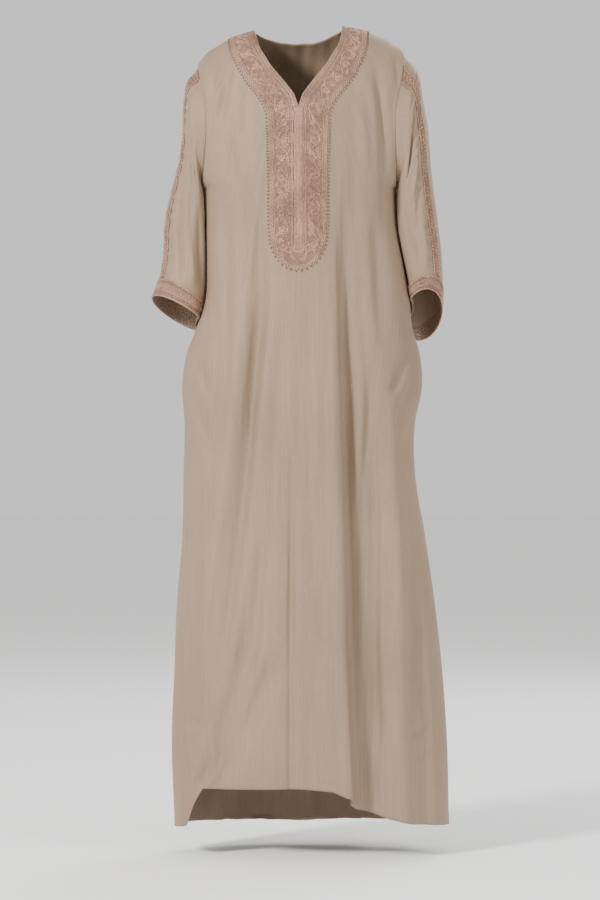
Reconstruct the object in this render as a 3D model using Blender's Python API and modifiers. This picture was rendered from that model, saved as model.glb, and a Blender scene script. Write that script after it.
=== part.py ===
"""A long straight robe with a V neck, wide three-quarter sleeves and worked trim, as worn.

It faces -Y. The origin is at the middle of the neck, at the height of the shoulder seams.
"""
import math

import bmesh
import bpy
import numpy as np
from mathutils import Vector

# Cloth and seams
CLOTH = 0.0012
TRIM = 0.001
BRAID = 0.0014
SEAM_HALF = 0.0005
ARMHOLE_GAP = 0.0009
LAY_GAP = 0.0006

# Neck, shoulders and armholes
CENTRE_X = -0.003
NECK_HALF = 0.083
NECK_SHARE = 0.43
BACK_NECK_Z = -0.018
NECK_ROUND = 0.085
UNDERARM_Z = -0.300
ARMHOLE_DEPTH = 0.077
UNDERARM_SOFT_LOW = -0.360
UNDERARM_SOFT_HIGH = -0.200

# Section of the body: how square it is, and how open its edge is at the chest
SQUARENESS = 2.2
SIDE_POWER = 0.5
CHEST_POWER = 0.9
CHEST_Z = -0.180

# Side pockets
POCKET_TOP = -0.5716
POCKET_LOW = -0.7345
POCKET_GAPE = 0.009
BAG_LOW = -0.800
BAG_CLEAR = 0.004
BAG_DEPTH = 0.012
BAG_COLUMNS = 6

# Grid of the cloth
ARMHOLE_ROWS = 9
SKIRT_ROWS = 22
NECK_COLUMNS = 7
SIDE_COLUMNS = 8

# Body: height, left and right half width, front and back depth
BODY = np.array([
    (-1.500, 0.236, 0.281, 0.150, 0.147),
    (-1.330, 0.242, 0.277, 0.146, 0.143),
    (-1.200, 0.237, 0.268, 0.142, 0.139),
    (-1.090, 0.233, 0.256, 0.138, 0.136),
    (-0.950, 0.222, 0.236, 0.134, 0.133),
    (-0.840, 0.220, 0.218, 0.132, 0.131),
    (-0.740, 0.218, 0.217, 0.131, 0.130),
    (-0.670, 0.222, 0.230, 0.130, 0.126),
    (-0.610, 0.214, 0.226, 0.127, 0.120),
    (-0.560, 0.195, 0.212, 0.124, 0.114),
    (-0.510, 0.179, 0.207, 0.122, 0.108),
    (-0.440, 0.177, 0.196, 0.121, 0.104),
    (-0.370, 0.180, 0.184, 0.124, 0.106),
    (-0.300, 0.184, 0.182, 0.127, 0.112),
    (-0.230, 0.177, 0.179, 0.127, 0.117),
    (-0.150, 0.176, 0.181, 0.122, 0.117),
    (-0.070, 0.192, 0.194, 0.108, 0.108),
    (0.010, 0.194, 0.196, 0.095, 0.095),
])

# Shoulder line: place across, height
SHOULDER = np.array([
    (-0.194, -0.070), (-0.186, -0.058), (-0.162, -0.036), (-0.124, -0.015), (-0.083, -0.003),
    (0.000, 0.008),
    (0.083, 0.004), (0.137, -0.008), (0.164, -0.020), (0.187, -0.033), (0.196, -0.040),
])

# Front neck edge: distance from the centre line, height
NECK_EDGE = np.array([
    (0.000, -0.156), (0.008, -0.134), (0.021, -0.117), (0.051, -0.079), (0.072, -0.042), (NECK_HALF, 0.0),
])

# Front hem: place across, height
HEM_FRONT = np.array([
    (-0.240, -1.495), (-0.212, -1.488), (-0.198, -1.448), (-0.182, -1.415), (-0.100, -1.414),
    (0.000, -1.412), (0.060, -1.417), (0.090, -1.430), (0.112, -1.452), (0.157, -1.468),
    (0.206, -1.481), (0.281, -1.491),
])
HEM_BACK = np.array([(-0.240, -1.495), (0.000, -1.503), (0.281, -1.491)])

# Folds: top x, top z, low x, low z, bow, rise, width to the left, width to the right
FRONT_FOLDS = (
    (0.052, -0.330, 0.090, -1.500, -0.006, 0.009, 0.045, 0.010),
    (0.078, -0.300, 0.118, -1.500, -0.006, -0.017, 0.010, 0.024),
    (-0.055, -0.300, -0.165, -1.180, 0.009, -0.011, 0.020, 0.034),
    (-0.086, -0.420, -0.190, -1.200, 0.006, 0.006, 0.022, 0.020),
    (-0.061, -0.930, -0.118, -1.220, 0.000, -0.005, 0.014, 0.018),
    (-0.060, -1.240, -0.192, -1.440, 0.010, -0.014, 0.018, 0.022),
    (-0.017, -0.720, -0.020, -1.500, 0.002, -0.003, 0.010, 0.012),
    (0.140, -0.700, 0.138, -1.500, -0.012, -0.014, 0.018, 0.022),
    (0.176, -0.760, 0.200, -1.500, 0.000, 0.007, 0.014, 0.016),
    (0.205, -0.640, 0.236, -1.500, 0.000, -0.009, 0.012, 0.012),
    (0.165, -0.070, 0.166, -0.400, 0.010, -0.007, 0.010, 0.014),
    (0.118, -0.110, 0.155, -0.320, 0.004, -0.006, 0.014, 0.014),
    (-0.118, -0.170, -0.126, -0.520, -0.006, -0.006, 0.016, 0.018),
)
BACK_FOLDS = (
    (-0.110, -0.520, -0.150, -1.500, 0.008, -0.014, 0.024, 0.030),
    (-0.060, -0.620, -0.075, -1.500, 0.000, 0.008, 0.024, 0.020),
    (0.012, -0.380, 0.020, -1.500, -0.010, -0.015, 0.026, 0.022),
    (0.066, -0.560, 0.096, -1.500, 0.004, 0.009, 0.024, 0.022),
    (0.118, -0.480, 0.160, -1.500, 0.006, -0.013, 0.022, 0.030),
    (0.176, -0.700, 0.214, -1.500, 0.000, 0.006, 0.018, 0.016),
    (-0.168, -0.720, -0.196, -1.500, 0.000, -0.007, 0.016, 0.016),
    (-0.090, -0.100, -0.118, -0.420, 0.010, -0.006, 0.018, 0.018),
    (0.096, -0.100, 0.122, -0.400, -0.008, -0.006, 0.018, 0.018),
)

# Sleeves: outer x, outer z, inner x, inner z, middle y, half depth, tilt of the ring to the front
SLEEVE_LEFT = np.array([
    (0.194, -0.070, 0.184, -0.300, 0.000, 0.077, 0.000),
    (0.2095, -0.092, 0.184, -0.306, 0.003, 0.079, 0.000),
    (0.2165, -0.118, 0.180, -0.313, 0.006, 0.080, 0.000),
    (0.2195, -0.155, 0.176, -0.325, 0.010, 0.080, 0.000),
    (0.2215, -0.200, 0.172, -0.342, 0.014, 0.080, 0.000),
    (0.2285, -0.250, 0.168, -0.365, 0.018, 0.079, 0.002),
    (0.240, -0.293, 0.166, -0.392, 0.021, 0.078, 0.004),
    (0.250, -0.333, 0.164, -0.420, 0.024, 0.077, 0.006),
    (0.2555, -0.372, 0.164, -0.447, 0.026, 0.076, 0.008),
    (0.257, -0.410, 0.164, -0.474, 0.028, 0.076, 0.011),
    (0.260, -0.443, 0.166, -0.500, 0.028, 0.076, 0.013),
    (0.267, -0.472, 0.172, -0.528, 0.028, 0.077, 0.015),
    (0.279, -0.506, 0.176, -0.560, 0.027, 0.078, 0.017),
])
SLEEVE_RIGHT = np.array([
    (0.196, -0.040, 0.184, -0.300, 0.000, 0.077, 0.000),
    (0.216, -0.066, 0.184, -0.306, 0.003, 0.080, 0.000),
    (0.2265, -0.092, 0.180, -0.313, 0.006, 0.081, 0.000),
    (0.232, -0.130, 0.176, -0.325, 0.010, 0.081, 0.000),
    (0.241, -0.180, 0.172, -0.343, 0.014, 0.081, 0.002),
    (0.2455, -0.230, 0.170, -0.366, 0.018, 0.080, 0.006),
    (0.250, -0.280, 0.169, -0.393, 0.021, 0.079, 0.012),
    (0.2565, -0.330, 0.170, -0.420, 0.024, 0.078, 0.018),
    (0.262, -0.375, 0.173, -0.447, 0.027, 0.078, 0.025),
    (0.267, -0.415, 0.178, -0.472, 0.029, 0.078, 0.031),
    (0.2695, -0.455, 0.183, -0.497, 0.031, 0.078, 0.037),
    (0.270, -0.493, 0.189, -0.520, 0.032, 0.078, 0.041),
    (0.268, -0.529, 0.196, -0.542, 0.033, 0.078, 0.045),
])
SLEEVE_CLEAR = 0.005
CUFF_ROWS = 1
BAND_COLUMN_LEFT = 1
BAND_COLUMN_RIGHT = 2

# Chest embroidery, outer edge: distance from the centre line, height
EMBROIDERY = np.array([
    (0.133, 0.050), (0.133, -0.010), (0.119, -0.075), (0.098, -0.113), (0.076, -0.141),
    (0.0625, -0.166), (0.0600, -0.225), (0.0585, -0.300), (0.0580, -0.360), (0.0550, -0.405),
    (0.0460, -0.432), (0.0310, -0.450), (0.0120, -0.462), (0.000, -0.464),
])
BRAID_WIDTH = 0.007
SLIT_MITRE = 2.4
ABOVE_ALL = 0.050
CUT_FROM = -0.020
CUT_TO = 0.230
CENTRE_BRAID_HALF = 0.008
CENTRE_BRAID_TOP = -0.177
CENTRE_BRAID_LOW = -0.420

# Colours: red, green, blue, roughness
CLOTH_LOOK = (0.47, 0.38, 0.30, 0.75)
WORKED_LOOK = (0.44, 0.30, 0.25, 0.65)


def curve(table, column, place):
    """Smooth value of one column of a table whose first column rises."""
    keys = table[:, 0]
    values = table[:, column]
    place = min(max(place, keys[0]), keys[-1])
    i = min(int(np.searchsorted(keys, place, side="right")) - 1, len(keys) - 2)
    slopes = np.gradient(values, keys)
    span = keys[i + 1] - keys[i]
    s = (place - keys[i]) / span
    near = (1 + 2 * s) * (1 - s) ** 2 * values[i] + s * (1 - s) ** 2 * span * slopes[i]
    far = s * s * (3 - 2 * s) * values[i + 1] + s * s * (s - 1) * span * slopes[i + 1]
    return near + far


def ring_value(table, column, place):
    """Smooth value of one column of a table read by its row number."""
    rows = np.arange(len(table), dtype=float)
    return curve(np.column_stack((rows, table[:, column])), 1, place)


def ease(value, low, high):
    """Rise smoothly from 0 at low to 1 at high."""
    s = min(max((value - low) / (high - low), 0.0), 1.0)
    return s * s * (3 - 2 * s)


def half_width(side, z):
    return curve(BODY, 1 if side < 0 else 2, z)


def place_across(share, z):
    """Place across of a column: share runs from -1 at the left edge to 1 at the right edge."""
    side = -1 if share < 0 else 1
    reach = half_width(side, z) - side * CENTRE_X
    return CENTRE_X + share * reach


def shoulder_height(x):
    return float(curve(SHOULDER, 1, x))


def armhole_top(side):
    return SHOULDER[0, 1] if side < 0 else SHOULDER[-1, 1]


def fold_depth(x, z, front):
    """How far the folds bring the cloth out at one place."""
    total = 0.0
    for top_x, top_z, low_x, low_z, bow, rise, left, right in (FRONT_FOLDS if front else BACK_FOLDS):
        along = (top_z - z) / (top_z - low_z)
        if not 0.0 < along < 1.0:
            continue
        middle = top_x + (low_x - top_x) * along + bow * 4 * along * (1 - along)
        width = left if x < middle else right
        fade = ease(along, 0.0, 0.3) * (1.0 - ease(along, 0.8, 1.0) if low_z > -1.49 else 1.0)
        total += rise * fade * math.exp(-((x - middle) / width) ** 2)
    return total


def body_depth(share, z, front):
    """Distance of the cloth from the plane of the side seams."""
    side = -1 if share < 0 else 1
    x = place_across(share, z)
    away = min(abs(share), 1.0)
    top = armhole_top(side)
    half = (top - UNDERARM_Z) / 2
    middle = (top + UNDERARM_Z) / 2
    edge = 0.0
    if z > UNDERARM_Z:
        lower = min((z - middle) / half, 0.0)
        edge = ARMHOLE_DEPTH * math.sqrt(max(1 - lower * lower, 0.0))
    soft_edge = ARMHOLE_DEPTH * ease(z, UNDERARM_SOFT_LOW, UNDERARM_SOFT_HIGH)
    edge = soft_edge + (edge - soft_edge) * ease(away, 0.75, 1.0)
    power = SIDE_POWER + (CHEST_POWER - SIDE_POWER) * ease(z, UNDERARM_Z, CHEST_Z)
    full = curve(BODY, 3 if front else 4, z)
    depth = edge + (full - edge) * (1 - away ** SQUARENESS) ** power
    depth += fold_depth(x, z, front) * (1 - away ** 6)
    round_over = NECK_ROUND + (half - NECK_ROUND) * away
    drop = min(max(shoulder_height(x) - z, 0.0) / round_over, 1.0)
    return depth * math.sqrt(max(1 - (1 - drop) ** 2, 0.0))


def surface_point(share, z, front):
    return Vector((place_across(share, z), body_depth(share, z, front) * (-1 if front else 1), z))


def body_point(share, z, front, push=0.0):
    """A point of the body cloth, moved out of its face by push."""
    point = surface_point(share, z, front)
    if push == 0.0:
        return point
    step = 0.002
    inner = max(min(share, 1 - step), step - 1)
    across = surface_point(inner + step, z, front) - surface_point(inner - step, z, front)
    down = surface_point(inner, z - step, front) - surface_point(inner, z + step, front)
    normal = down.cross(across).normalized()
    if not front:
        normal.negate()
    return point + normal * push


def column_shares():
    """Shares of the columns, with one on each neck point."""
    shares = [NECK_SHARE * (1 - (1 - i / NECK_COLUMNS) ** 2) for i in range(NECK_COLUMNS)]
    start = math.asin(NECK_SHARE)
    for i in range(SIDE_COLUMNS + 1):
        shares.append(math.sin(start + (math.pi / 2 - start) * i / SIDE_COLUMNS))
    return [-share for share in reversed(shares[1:])] + shares


def neck_height(share, front):
    """Height of the neck edge above a column inside the neck."""
    away = abs(share) / NECK_SHARE * NECK_HALF
    side_point = shoulder_height(CENTRE_X + math.copysign(NECK_HALF, share))
    if front:
        return float(np.interp(away, NECK_EDGE[:, 0], NECK_EDGE[:, 1])) + side_point * away / NECK_HALF
    drop = BACK_NECK_Z - side_point
    return side_point + drop * (1 - (away / NECK_HALF) ** 2.4)


def rounded_length(drop):
    """Length of cloth over the round of the shoulder, down to a drop below it."""
    if drop >= NECK_ROUND:
        return NECK_ROUND * math.pi / 2 + drop - NECK_ROUND
    return NECK_ROUND * math.acos(1 - drop / NECK_ROUND)


def rounded_drop(length):
    if length >= NECK_ROUND * math.pi / 2:
        return length - NECK_ROUND * math.pi / 2 + NECK_ROUND
    return NECK_ROUND * (1 - math.cos(length / NECK_ROUND))


def column_heights(share, front):
    """Heights of the points of a column, from the top edge to the hem."""
    away = abs(share)
    side = -1 if share < 0 else 1
    if away < NECK_SHARE - 1e-6:
        top = neck_height(share, front)
    else:
        top = armhole_top(side)
        for _ in range(6):
            top = shoulder_height(place_across(share, top))
    ridge = max(shoulder_height(place_across(share, top)), top)
    start = rounded_length(ridge - top)
    whole = rounded_length(ridge - UNDERARM_Z) - start
    blend = ease(away, 0.8, 1.0)
    heights = []
    for i in range(ARMHOLE_ROWS):
        s = i / ARMHOLE_ROWS
        even = ridge - rounded_drop(start + whole * s)
        tight = top + (UNDERARM_Z - top) * (1 - math.cos(math.pi * s)) / 2
        heights.append(even + (tight - even) * blend)
    hem_table = HEM_FRONT if front else HEM_BACK
    hem = float(np.interp(place_across(share, -1.45), hem_table[:, 0], hem_table[:, 1]))
    for i in range(SKIRT_ROWS + 1):
        heights.append(UNDERARM_Z + (hem - UNDERARM_Z) * i / SKIRT_ROWS)
    return heights


def pocket_gape(z):
    if not POCKET_LOW < z < POCKET_TOP:
        return 0.0
    return POCKET_GAPE * math.sin(math.pi * (POCKET_TOP - z) / (POCKET_TOP - POCKET_LOW))


def panel_rows(front):
    """Grid of the front or the back, its edges drawn in from the seams."""
    columns = []
    for share in column_shares():
        points = []
        for z in column_heights(share, front):
            point = body_point(share, z, front)
            keep = max(abs(point.y), SEAM_HALF)
            if not points and abs(share) > NECK_SHARE - 1e-6:
                keep = SEAM_HALF
            if abs(share) > 0.999:
                keep = max(keep, pocket_gape(z))
            point.y = -keep if front else keep
            points.append(point)
        columns.append(points)
    return columns


def sleeve_point(side, place, angle):
    """A point of a sleeve: angle 0 is the outer arm, and it turns over the front."""
    table = SLEEVE_LEFT if side < 0 else SLEEVE_RIGHT
    outer_x, outer_z, inner_x, inner_z, middle_y, depth, tilt = (
        ring_value(table, column, place) for column in range(7))
    toward = (1 + math.cos(angle)) / 2
    turn = math.sin(angle)
    y = middle_y - depth * turn
    z = inner_z + (outer_z - inner_z) * toward + tilt * turn
    x = inner_x + (outer_x - inner_x) * toward
    if z > UNDERARM_Z:
        seam_x = half_width(side, z) + ARMHOLE_GAP
        x += (seam_x - x) * (1 - ease(place, 0.0, 1.0))
    x = max(x, body_reach(side, y, z, place))
    return Vector((side * x, y, z))


def body_reach(side, y, z, place):
    """How far out the body reaches beside the sleeve, with a clear gap."""
    if z > UNDERARM_Z:
        return 0.0
    full = curve(BODY, 3 if y < 0 else 4, z)
    level = min(abs(y) / full, 1.0) ** (1 / SIDE_POWER)
    reach = half_width(side, z) * (1 - level) ** (1 / SQUARENESS)
    gap = ARMHOLE_GAP + (SLEEVE_CLEAR - ARMHOLE_GAP) * ease(place, 0.0, 1.5)
    return reach + gap


def grid_object(name, columns, thickness, look, closed=False):
    """An open sheet through columns of points, given its wall inward."""
    sheet = bmesh.new()
    made = [[sheet.verts.new(point) for point in column] for column in columns]
    if closed:
        made.append(made[0])
    for left, right in zip(made, made[1:]):
        for i in range(len(left) - 1):
            sheet.faces.new((left[i], left[i + 1], right[i + 1], right[i]))
    bmesh.ops.triangulate(sheet, faces=sheet.faces, quad_method="SHORT_EDGE")
    return wall_object(name, sheet, thickness, look)


def moved_out(piece, row_count, lift):
    """The columns of a grid piece's own points, moved out of its face."""
    points = [vert.co + vert.normal * lift for vert in piece.data.vertices]
    return [points[i:i + row_count] for i in range(0, len(points), row_count)]


def wall_object(name, sheet, thickness, look):
    mesh = bpy.data.meshes.new(name)
    sheet.to_mesh(mesh)
    sheet.free()
    mesh.shade_smooth()
    return walled_piece(name, mesh, thickness, look)


def walled_piece(name, mesh, thickness, look):
    """An object of an open mesh, its wall turned inward from the outer face."""
    mesh.materials.clear()
    mesh.materials.append(material_for(name, look))
    piece = bpy.data.objects.new(name, mesh)
    robe.objects.link(piece)
    wall = piece.modifiers.new("wall", "SOLIDIFY")
    wall.thickness = thickness
    wall.offset = -1.0
    return piece


def material_for(name, look):
    red, green, blue, rough = look
    material = bpy.data.materials.new(name)
    material.use_nodes = True
    shader = material.node_tree.nodes["Principled BSDF"]
    shader.inputs["Base Color"].default_value = (red, green, blue, 1.0)
    shader.inputs["Roughness"].default_value = rough
    shader.inputs["Metallic"].default_value = 0.0
    return material


def make_panels():
    front = grid_object("front_panel", panel_rows(True), CLOTH, CLOTH_LOOK)
    back = grid_object("back_panel", list(reversed(panel_rows(False))), CLOTH, CLOTH_LOOK)
    return front, back


def make_sleeve(side, word):
    """A sleeve, the band down its outer arm and the band round its end."""
    rows = len(SLEEVE_LEFT)
    count = 2 * ARMHOLE_ROWS
    columns = []
    for i in range(count):
        angle = 2 * math.pi * i / count
        columns.append([sleeve_point(side, float(place), angle) for place in range(rows)])
    if side > 0:
        columns.reverse()
    sleeve = grid_object("sleeve_" + word, columns, CLOTH, CLOTH_LOOK, closed=True)

    outside = moved_out(sleeve, rows, LAY_GAP + TRIM)
    cuff = [column[-1 - CUFF_ROWS:] for column in outside]
    grid_object("cuff_band_" + word, cuff, TRIM, WORKED_LOOK, closed=True)
    if side < 0:
        arm = outside[BAND_COLUMN_LEFT:BAND_COLUMN_LEFT + 2]
    else:
        arm = outside[-2 - BAND_COLUMN_RIGHT:-BAND_COLUMN_RIGHT]
    band = [column[:-1 - CUFF_ROWS] for column in arm]
    grid_object("sleeve_band_" + word, band, TRIM, WORKED_LOOK)


def neck_line(front, out):
    """The neck edge from left to right, moved out from the neck, as (x, z)."""
    line = []
    for share in column_shares():
        if abs(share) > NECK_SHARE + 1e-6:
            continue
        away = share / NECK_SHARE * NECK_HALF
        step = 0.004
        low = max(share - step, -NECK_SHARE)
        high = min(share + step, NECK_SHARE)
        rise = neck_height(high, front) - neck_height(low, front)
        run = (high - low) / NECK_SHARE * NECK_HALF
        aside = Vector((rise, -run)).normalized()
        height = neck_height(share, front)
        if abs(share) < 1e-6 and front:
            aside *= SLIT_MITRE
        line.append((CENTRE_X + away + aside.x * out, height + aside.y * out))
    return line


def closed_band(front, inner, outer):
    """Outline between two lines beside the neck edge, run up past the shoulder line."""
    low = neck_line(front, outer)
    high = neck_line(front, inner)
    low = [(low[0][0], ABOVE_ALL)] + low + [(low[-1][0], ABOVE_ALL)]
    high = [(high[0][0], ABOVE_ALL)] + high + [(high[-1][0], ABOVE_ALL)]
    return low + list(reversed(high))


def laid_piece(name, panel, outline, under, thickness, look):
    """A piece that lies on a panel: the panel's sheet moved out and cut to an outline."""
    side = -1 if panel.name == "front_panel" else 1
    mesh = panel.data.copy()
    mesh.name = name
    moved = [vert.co + vert.normal * (under + thickness) for vert in mesh.vertices]
    for vert, place in zip(mesh.vertices, moved):
        vert.co = place
    piece = walled_piece(name, mesh, thickness, look)

    prism = bmesh.new()
    near = [prism.verts.new((x, side * CUT_FROM, z)) for x, z in outline]
    face = prism.faces.new(near)
    made = bmesh.ops.extrude_face_region(prism, geom=[face])
    far = [item for item in made["geom"] if isinstance(item, bmesh.types.BMVert)]
    bmesh.ops.translate(prism, verts=far, vec=(0.0, side * (CUT_TO - CUT_FROM), 0.0))
    bmesh.ops.recalc_face_normals(prism, faces=prism.faces)
    cutter_mesh = bpy.data.meshes.new(name + "_outline")
    prism.to_mesh(cutter_mesh)
    prism.free()
    cutter = bpy.data.objects.new(name + "_outline", cutter_mesh)
    cutter.hide_render = True
    cutter.display_type = "WIRE"
    cutters.objects.link(cutter)
    cut = piece.modifiers.new("outline", "BOOLEAN")
    cut.operation = "INTERSECT"
    cut.solver = "EXACT"
    cut.object = cutter


def make_trims(front, back):
    """The braid on the neck edge, the worked band beside it and the cords down the middle."""
    for word, panel in (("front", front), ("back", back)):
        outline = closed_band(panel is front, -BRAID_WIDTH, BRAID_WIDTH)
        laid_piece("neck_braid_" + word, panel, outline, LAY_GAP, BRAID, WORKED_LOOK)

    left = [(CENTRE_X - away, z) for away, z in EMBROIDERY]
    right = [(CENTRE_X + away, z) for away, z in reversed(EMBROIDERY[:-1])]
    beside = neck_line(True, BRAID_WIDTH + 2 * SEAM_HALF)
    beside = [(beside[0][0], ABOVE_ALL)] + beside + [(beside[-1][0], ABOVE_ALL)]
    outline = left + right + list(reversed(beside))
    laid_piece("chest_embroidery", front, outline, LAY_GAP, TRIM, WORKED_LOOK)

    low_x = CENTRE_X - CENTRE_BRAID_HALF
    high_x = CENTRE_X + CENTRE_BRAID_HALF
    outline = [(low_x, CENTRE_BRAID_TOP), (low_x, CENTRE_BRAID_LOW), (high_x, CENTRE_BRAID_LOW),
               (high_x, CENTRE_BRAID_TOP)]
    laid_piece("centre_braid", front, outline, 2 * LAY_GAP + TRIM, BRAID, WORKED_LOOK)


def make_pocket_bag(side, word):
    """A flat bag behind the front cloth, open at the slit in the side seam."""
    shares = [share for share in column_shares() if share > 0][:-1]
    shares = [side * share for share in reversed(shares[-BAG_COLUMNS:])]
    mouth = [z for z in column_heights(shares[0], True) if POCKET_LOW - 0.02 < z < POCKET_TOP + 0.02]
    columns = []
    for step, share in enumerate(shares):
        deep = step / (len(shares) - 1)
        low = mouth[-1] + (BAG_LOW - mouth[-1]) * ease(deep, 0.0, 0.5)
        heights = [mouth[0] + (z - mouth[0]) * (low - mouth[0]) / (mouth[-1] - mouth[0]) for z in mouth]
        near = CLOTH + (LAY_GAP if step == 0 else BAG_CLEAR)
        outer_layer = [body_point(share, z, True, -near) for z in heights]
        if step == 0:
            inner_layer = [body_point(share, z, False, -near - TRIM) for z in heights]
        else:
            inner_layer = [body_point(share, z, True, -near - BAG_DEPTH) for z in heights]
        columns.append(outer_layer + list(reversed(inner_layer)))
    sheet = bmesh.new()
    made = [[sheet.verts.new(point) for point in column] for column in columns]
    count = len(made[0])
    for left, right in zip(made, made[1:]):
        for i in range(count):
            following = (i + 1) % count
            sheet.faces.new((left[i], left[following], right[following], right[i]))
    end = made[-1]
    for i in range(count // 2 - 1):
        sheet.faces.new((end[i], end[i + 1], end[count - 2 - i], end[count - 1 - i]))
    bmesh.ops.recalc_face_normals(sheet, faces=sheet.faces)
    wall_object("pocket_bag_" + word, sheet, TRIM, CLOTH_LOOK)


for old in list(bpy.data.objects):
    bpy.data.objects.remove(old)
robe = bpy.data.collections.new("thobe_robe")
cutters = bpy.data.collections.new("cutters")
bpy.context.scene.collection.children.link(robe)
bpy.context.scene.collection.children.link(cutters)
front_cloth, back_cloth = make_panels()
for side_sign, side_word in ((-1, "left"), (1, "right")):
    make_sleeve(side_sign, side_word)
    make_pocket_bag(side_sign, side_word)
make_trims(front_cloth, back_cloth)
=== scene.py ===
import math

import bmesh
import bpy
import numpy as np
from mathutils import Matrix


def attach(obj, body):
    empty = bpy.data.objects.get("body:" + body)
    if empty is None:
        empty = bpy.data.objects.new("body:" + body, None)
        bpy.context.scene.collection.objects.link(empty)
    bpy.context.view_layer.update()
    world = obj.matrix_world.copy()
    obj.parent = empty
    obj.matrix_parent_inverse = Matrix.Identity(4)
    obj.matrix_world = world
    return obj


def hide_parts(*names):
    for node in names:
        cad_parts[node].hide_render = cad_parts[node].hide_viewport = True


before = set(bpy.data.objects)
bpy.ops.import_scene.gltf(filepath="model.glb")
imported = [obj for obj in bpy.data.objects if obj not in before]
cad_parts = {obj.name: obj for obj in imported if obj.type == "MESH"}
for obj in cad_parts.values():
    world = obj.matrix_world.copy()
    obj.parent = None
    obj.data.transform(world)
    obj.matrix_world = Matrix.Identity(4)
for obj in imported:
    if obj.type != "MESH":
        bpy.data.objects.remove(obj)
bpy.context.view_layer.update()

# camera, floor and light

studio = dict(
    away=5.85, height=-0.79, lens=124.5,
    floorZ=-1.545, floorSize=60.0, floorColour=(0.97, 0.97, 0.965),
    skyColour=(1.0, 0.995, 0.985), skyStrength=0.86,
    # name, place, aim, size, watts, colour
    lamps=[
        ("keyLamp", (-3.3, -3.8, 1.8), (0.0, 0.0, -0.7), 0.9, 440.0, (1.0, 0.985, 0.96)),
        ("fillLamp", (3.6, -3.4, 0.4), (0.0, 0.0, -0.85), 2.0, 118.0, (1.0, 0.99, 0.98)),
        ("backLamp", (1.8, 3.4, 1.8), (0.0, 0.0, -0.6), 2.0, 110.0, (1.0, 1.0, 1.0)),
    ])


def placeCamera(plan):
    data = bpy.data.cameras.new("photoCamera")
    data.sensor_fit = "VERTICAL"
    data.sensor_height = 36.0
    data.lens = plan["lens"]
    camera = bpy.data.objects.new("photoCamera", data)
    camera.location = (0.0, -plan["away"], plan["height"])
    camera.rotation_euler = (math.pi / 2, 0.0, 0.0)
    bpy.context.scene.collection.objects.link(camera)
    bpy.context.scene.camera = camera


def placeStudio(plan):
    floor = bmesh.new()
    bmesh.ops.create_grid(floor, x_segments=8, y_segments=8, size=plan["floorSize"] / 2)
    bmesh.ops.translate(floor, verts=floor.verts, vec=(0.0, 0.0, plan["floorZ"]))
    mesh = bpy.data.meshes.new("studioFloor")
    floor.to_mesh(mesh)
    floor.free()
    paint = bpy.data.materials.new("paleFloor")
    paint.use_nodes = True
    shader = paint.node_tree.nodes["Principled BSDF"]
    shader.inputs["Base Color"].default_value = (*plan["floorColour"], 1.0)
    shader.inputs["Roughness"].default_value = 0.9
    shader.inputs["Specular IOR Level"].default_value = 0.1
    mesh.materials.append(paint)
    piece = bpy.data.objects.new("studioFloor", mesh)
    bpy.context.scene.collection.objects.link(piece)

    sky = bpy.data.worlds.new("paleSky")
    sky.use_nodes = True
    sky.node_tree.nodes["Background"].inputs["Color"].default_value = (*plan["skyColour"], 1.0)
    sky.node_tree.nodes["Background"].inputs["Strength"].default_value = plan["skyStrength"]
    bpy.context.scene.world = sky

    for name, place, aim, size, watts, colour in plan["lamps"]:
        data = bpy.data.lights.new(name, "AREA")
        data.size = size
        data.energy = watts
        data.color = colour
        lamp = bpy.data.objects.new(name, data)
        lamp.location = place
        toward = np.array(aim) - np.array(place)
        flat = math.hypot(toward[0], toward[1])
        lamp.rotation_euler = (math.atan2(flat, -toward[2]), 0.0, math.atan2(-toward[0], toward[1]))
        lamp.visible_camera = False
        bpy.context.scene.collection.objects.link(lamp)


placeCamera(studio)
placeStudio(studio)
print("studio placed")

# the form of the body cloth, as the solids have it

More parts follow.
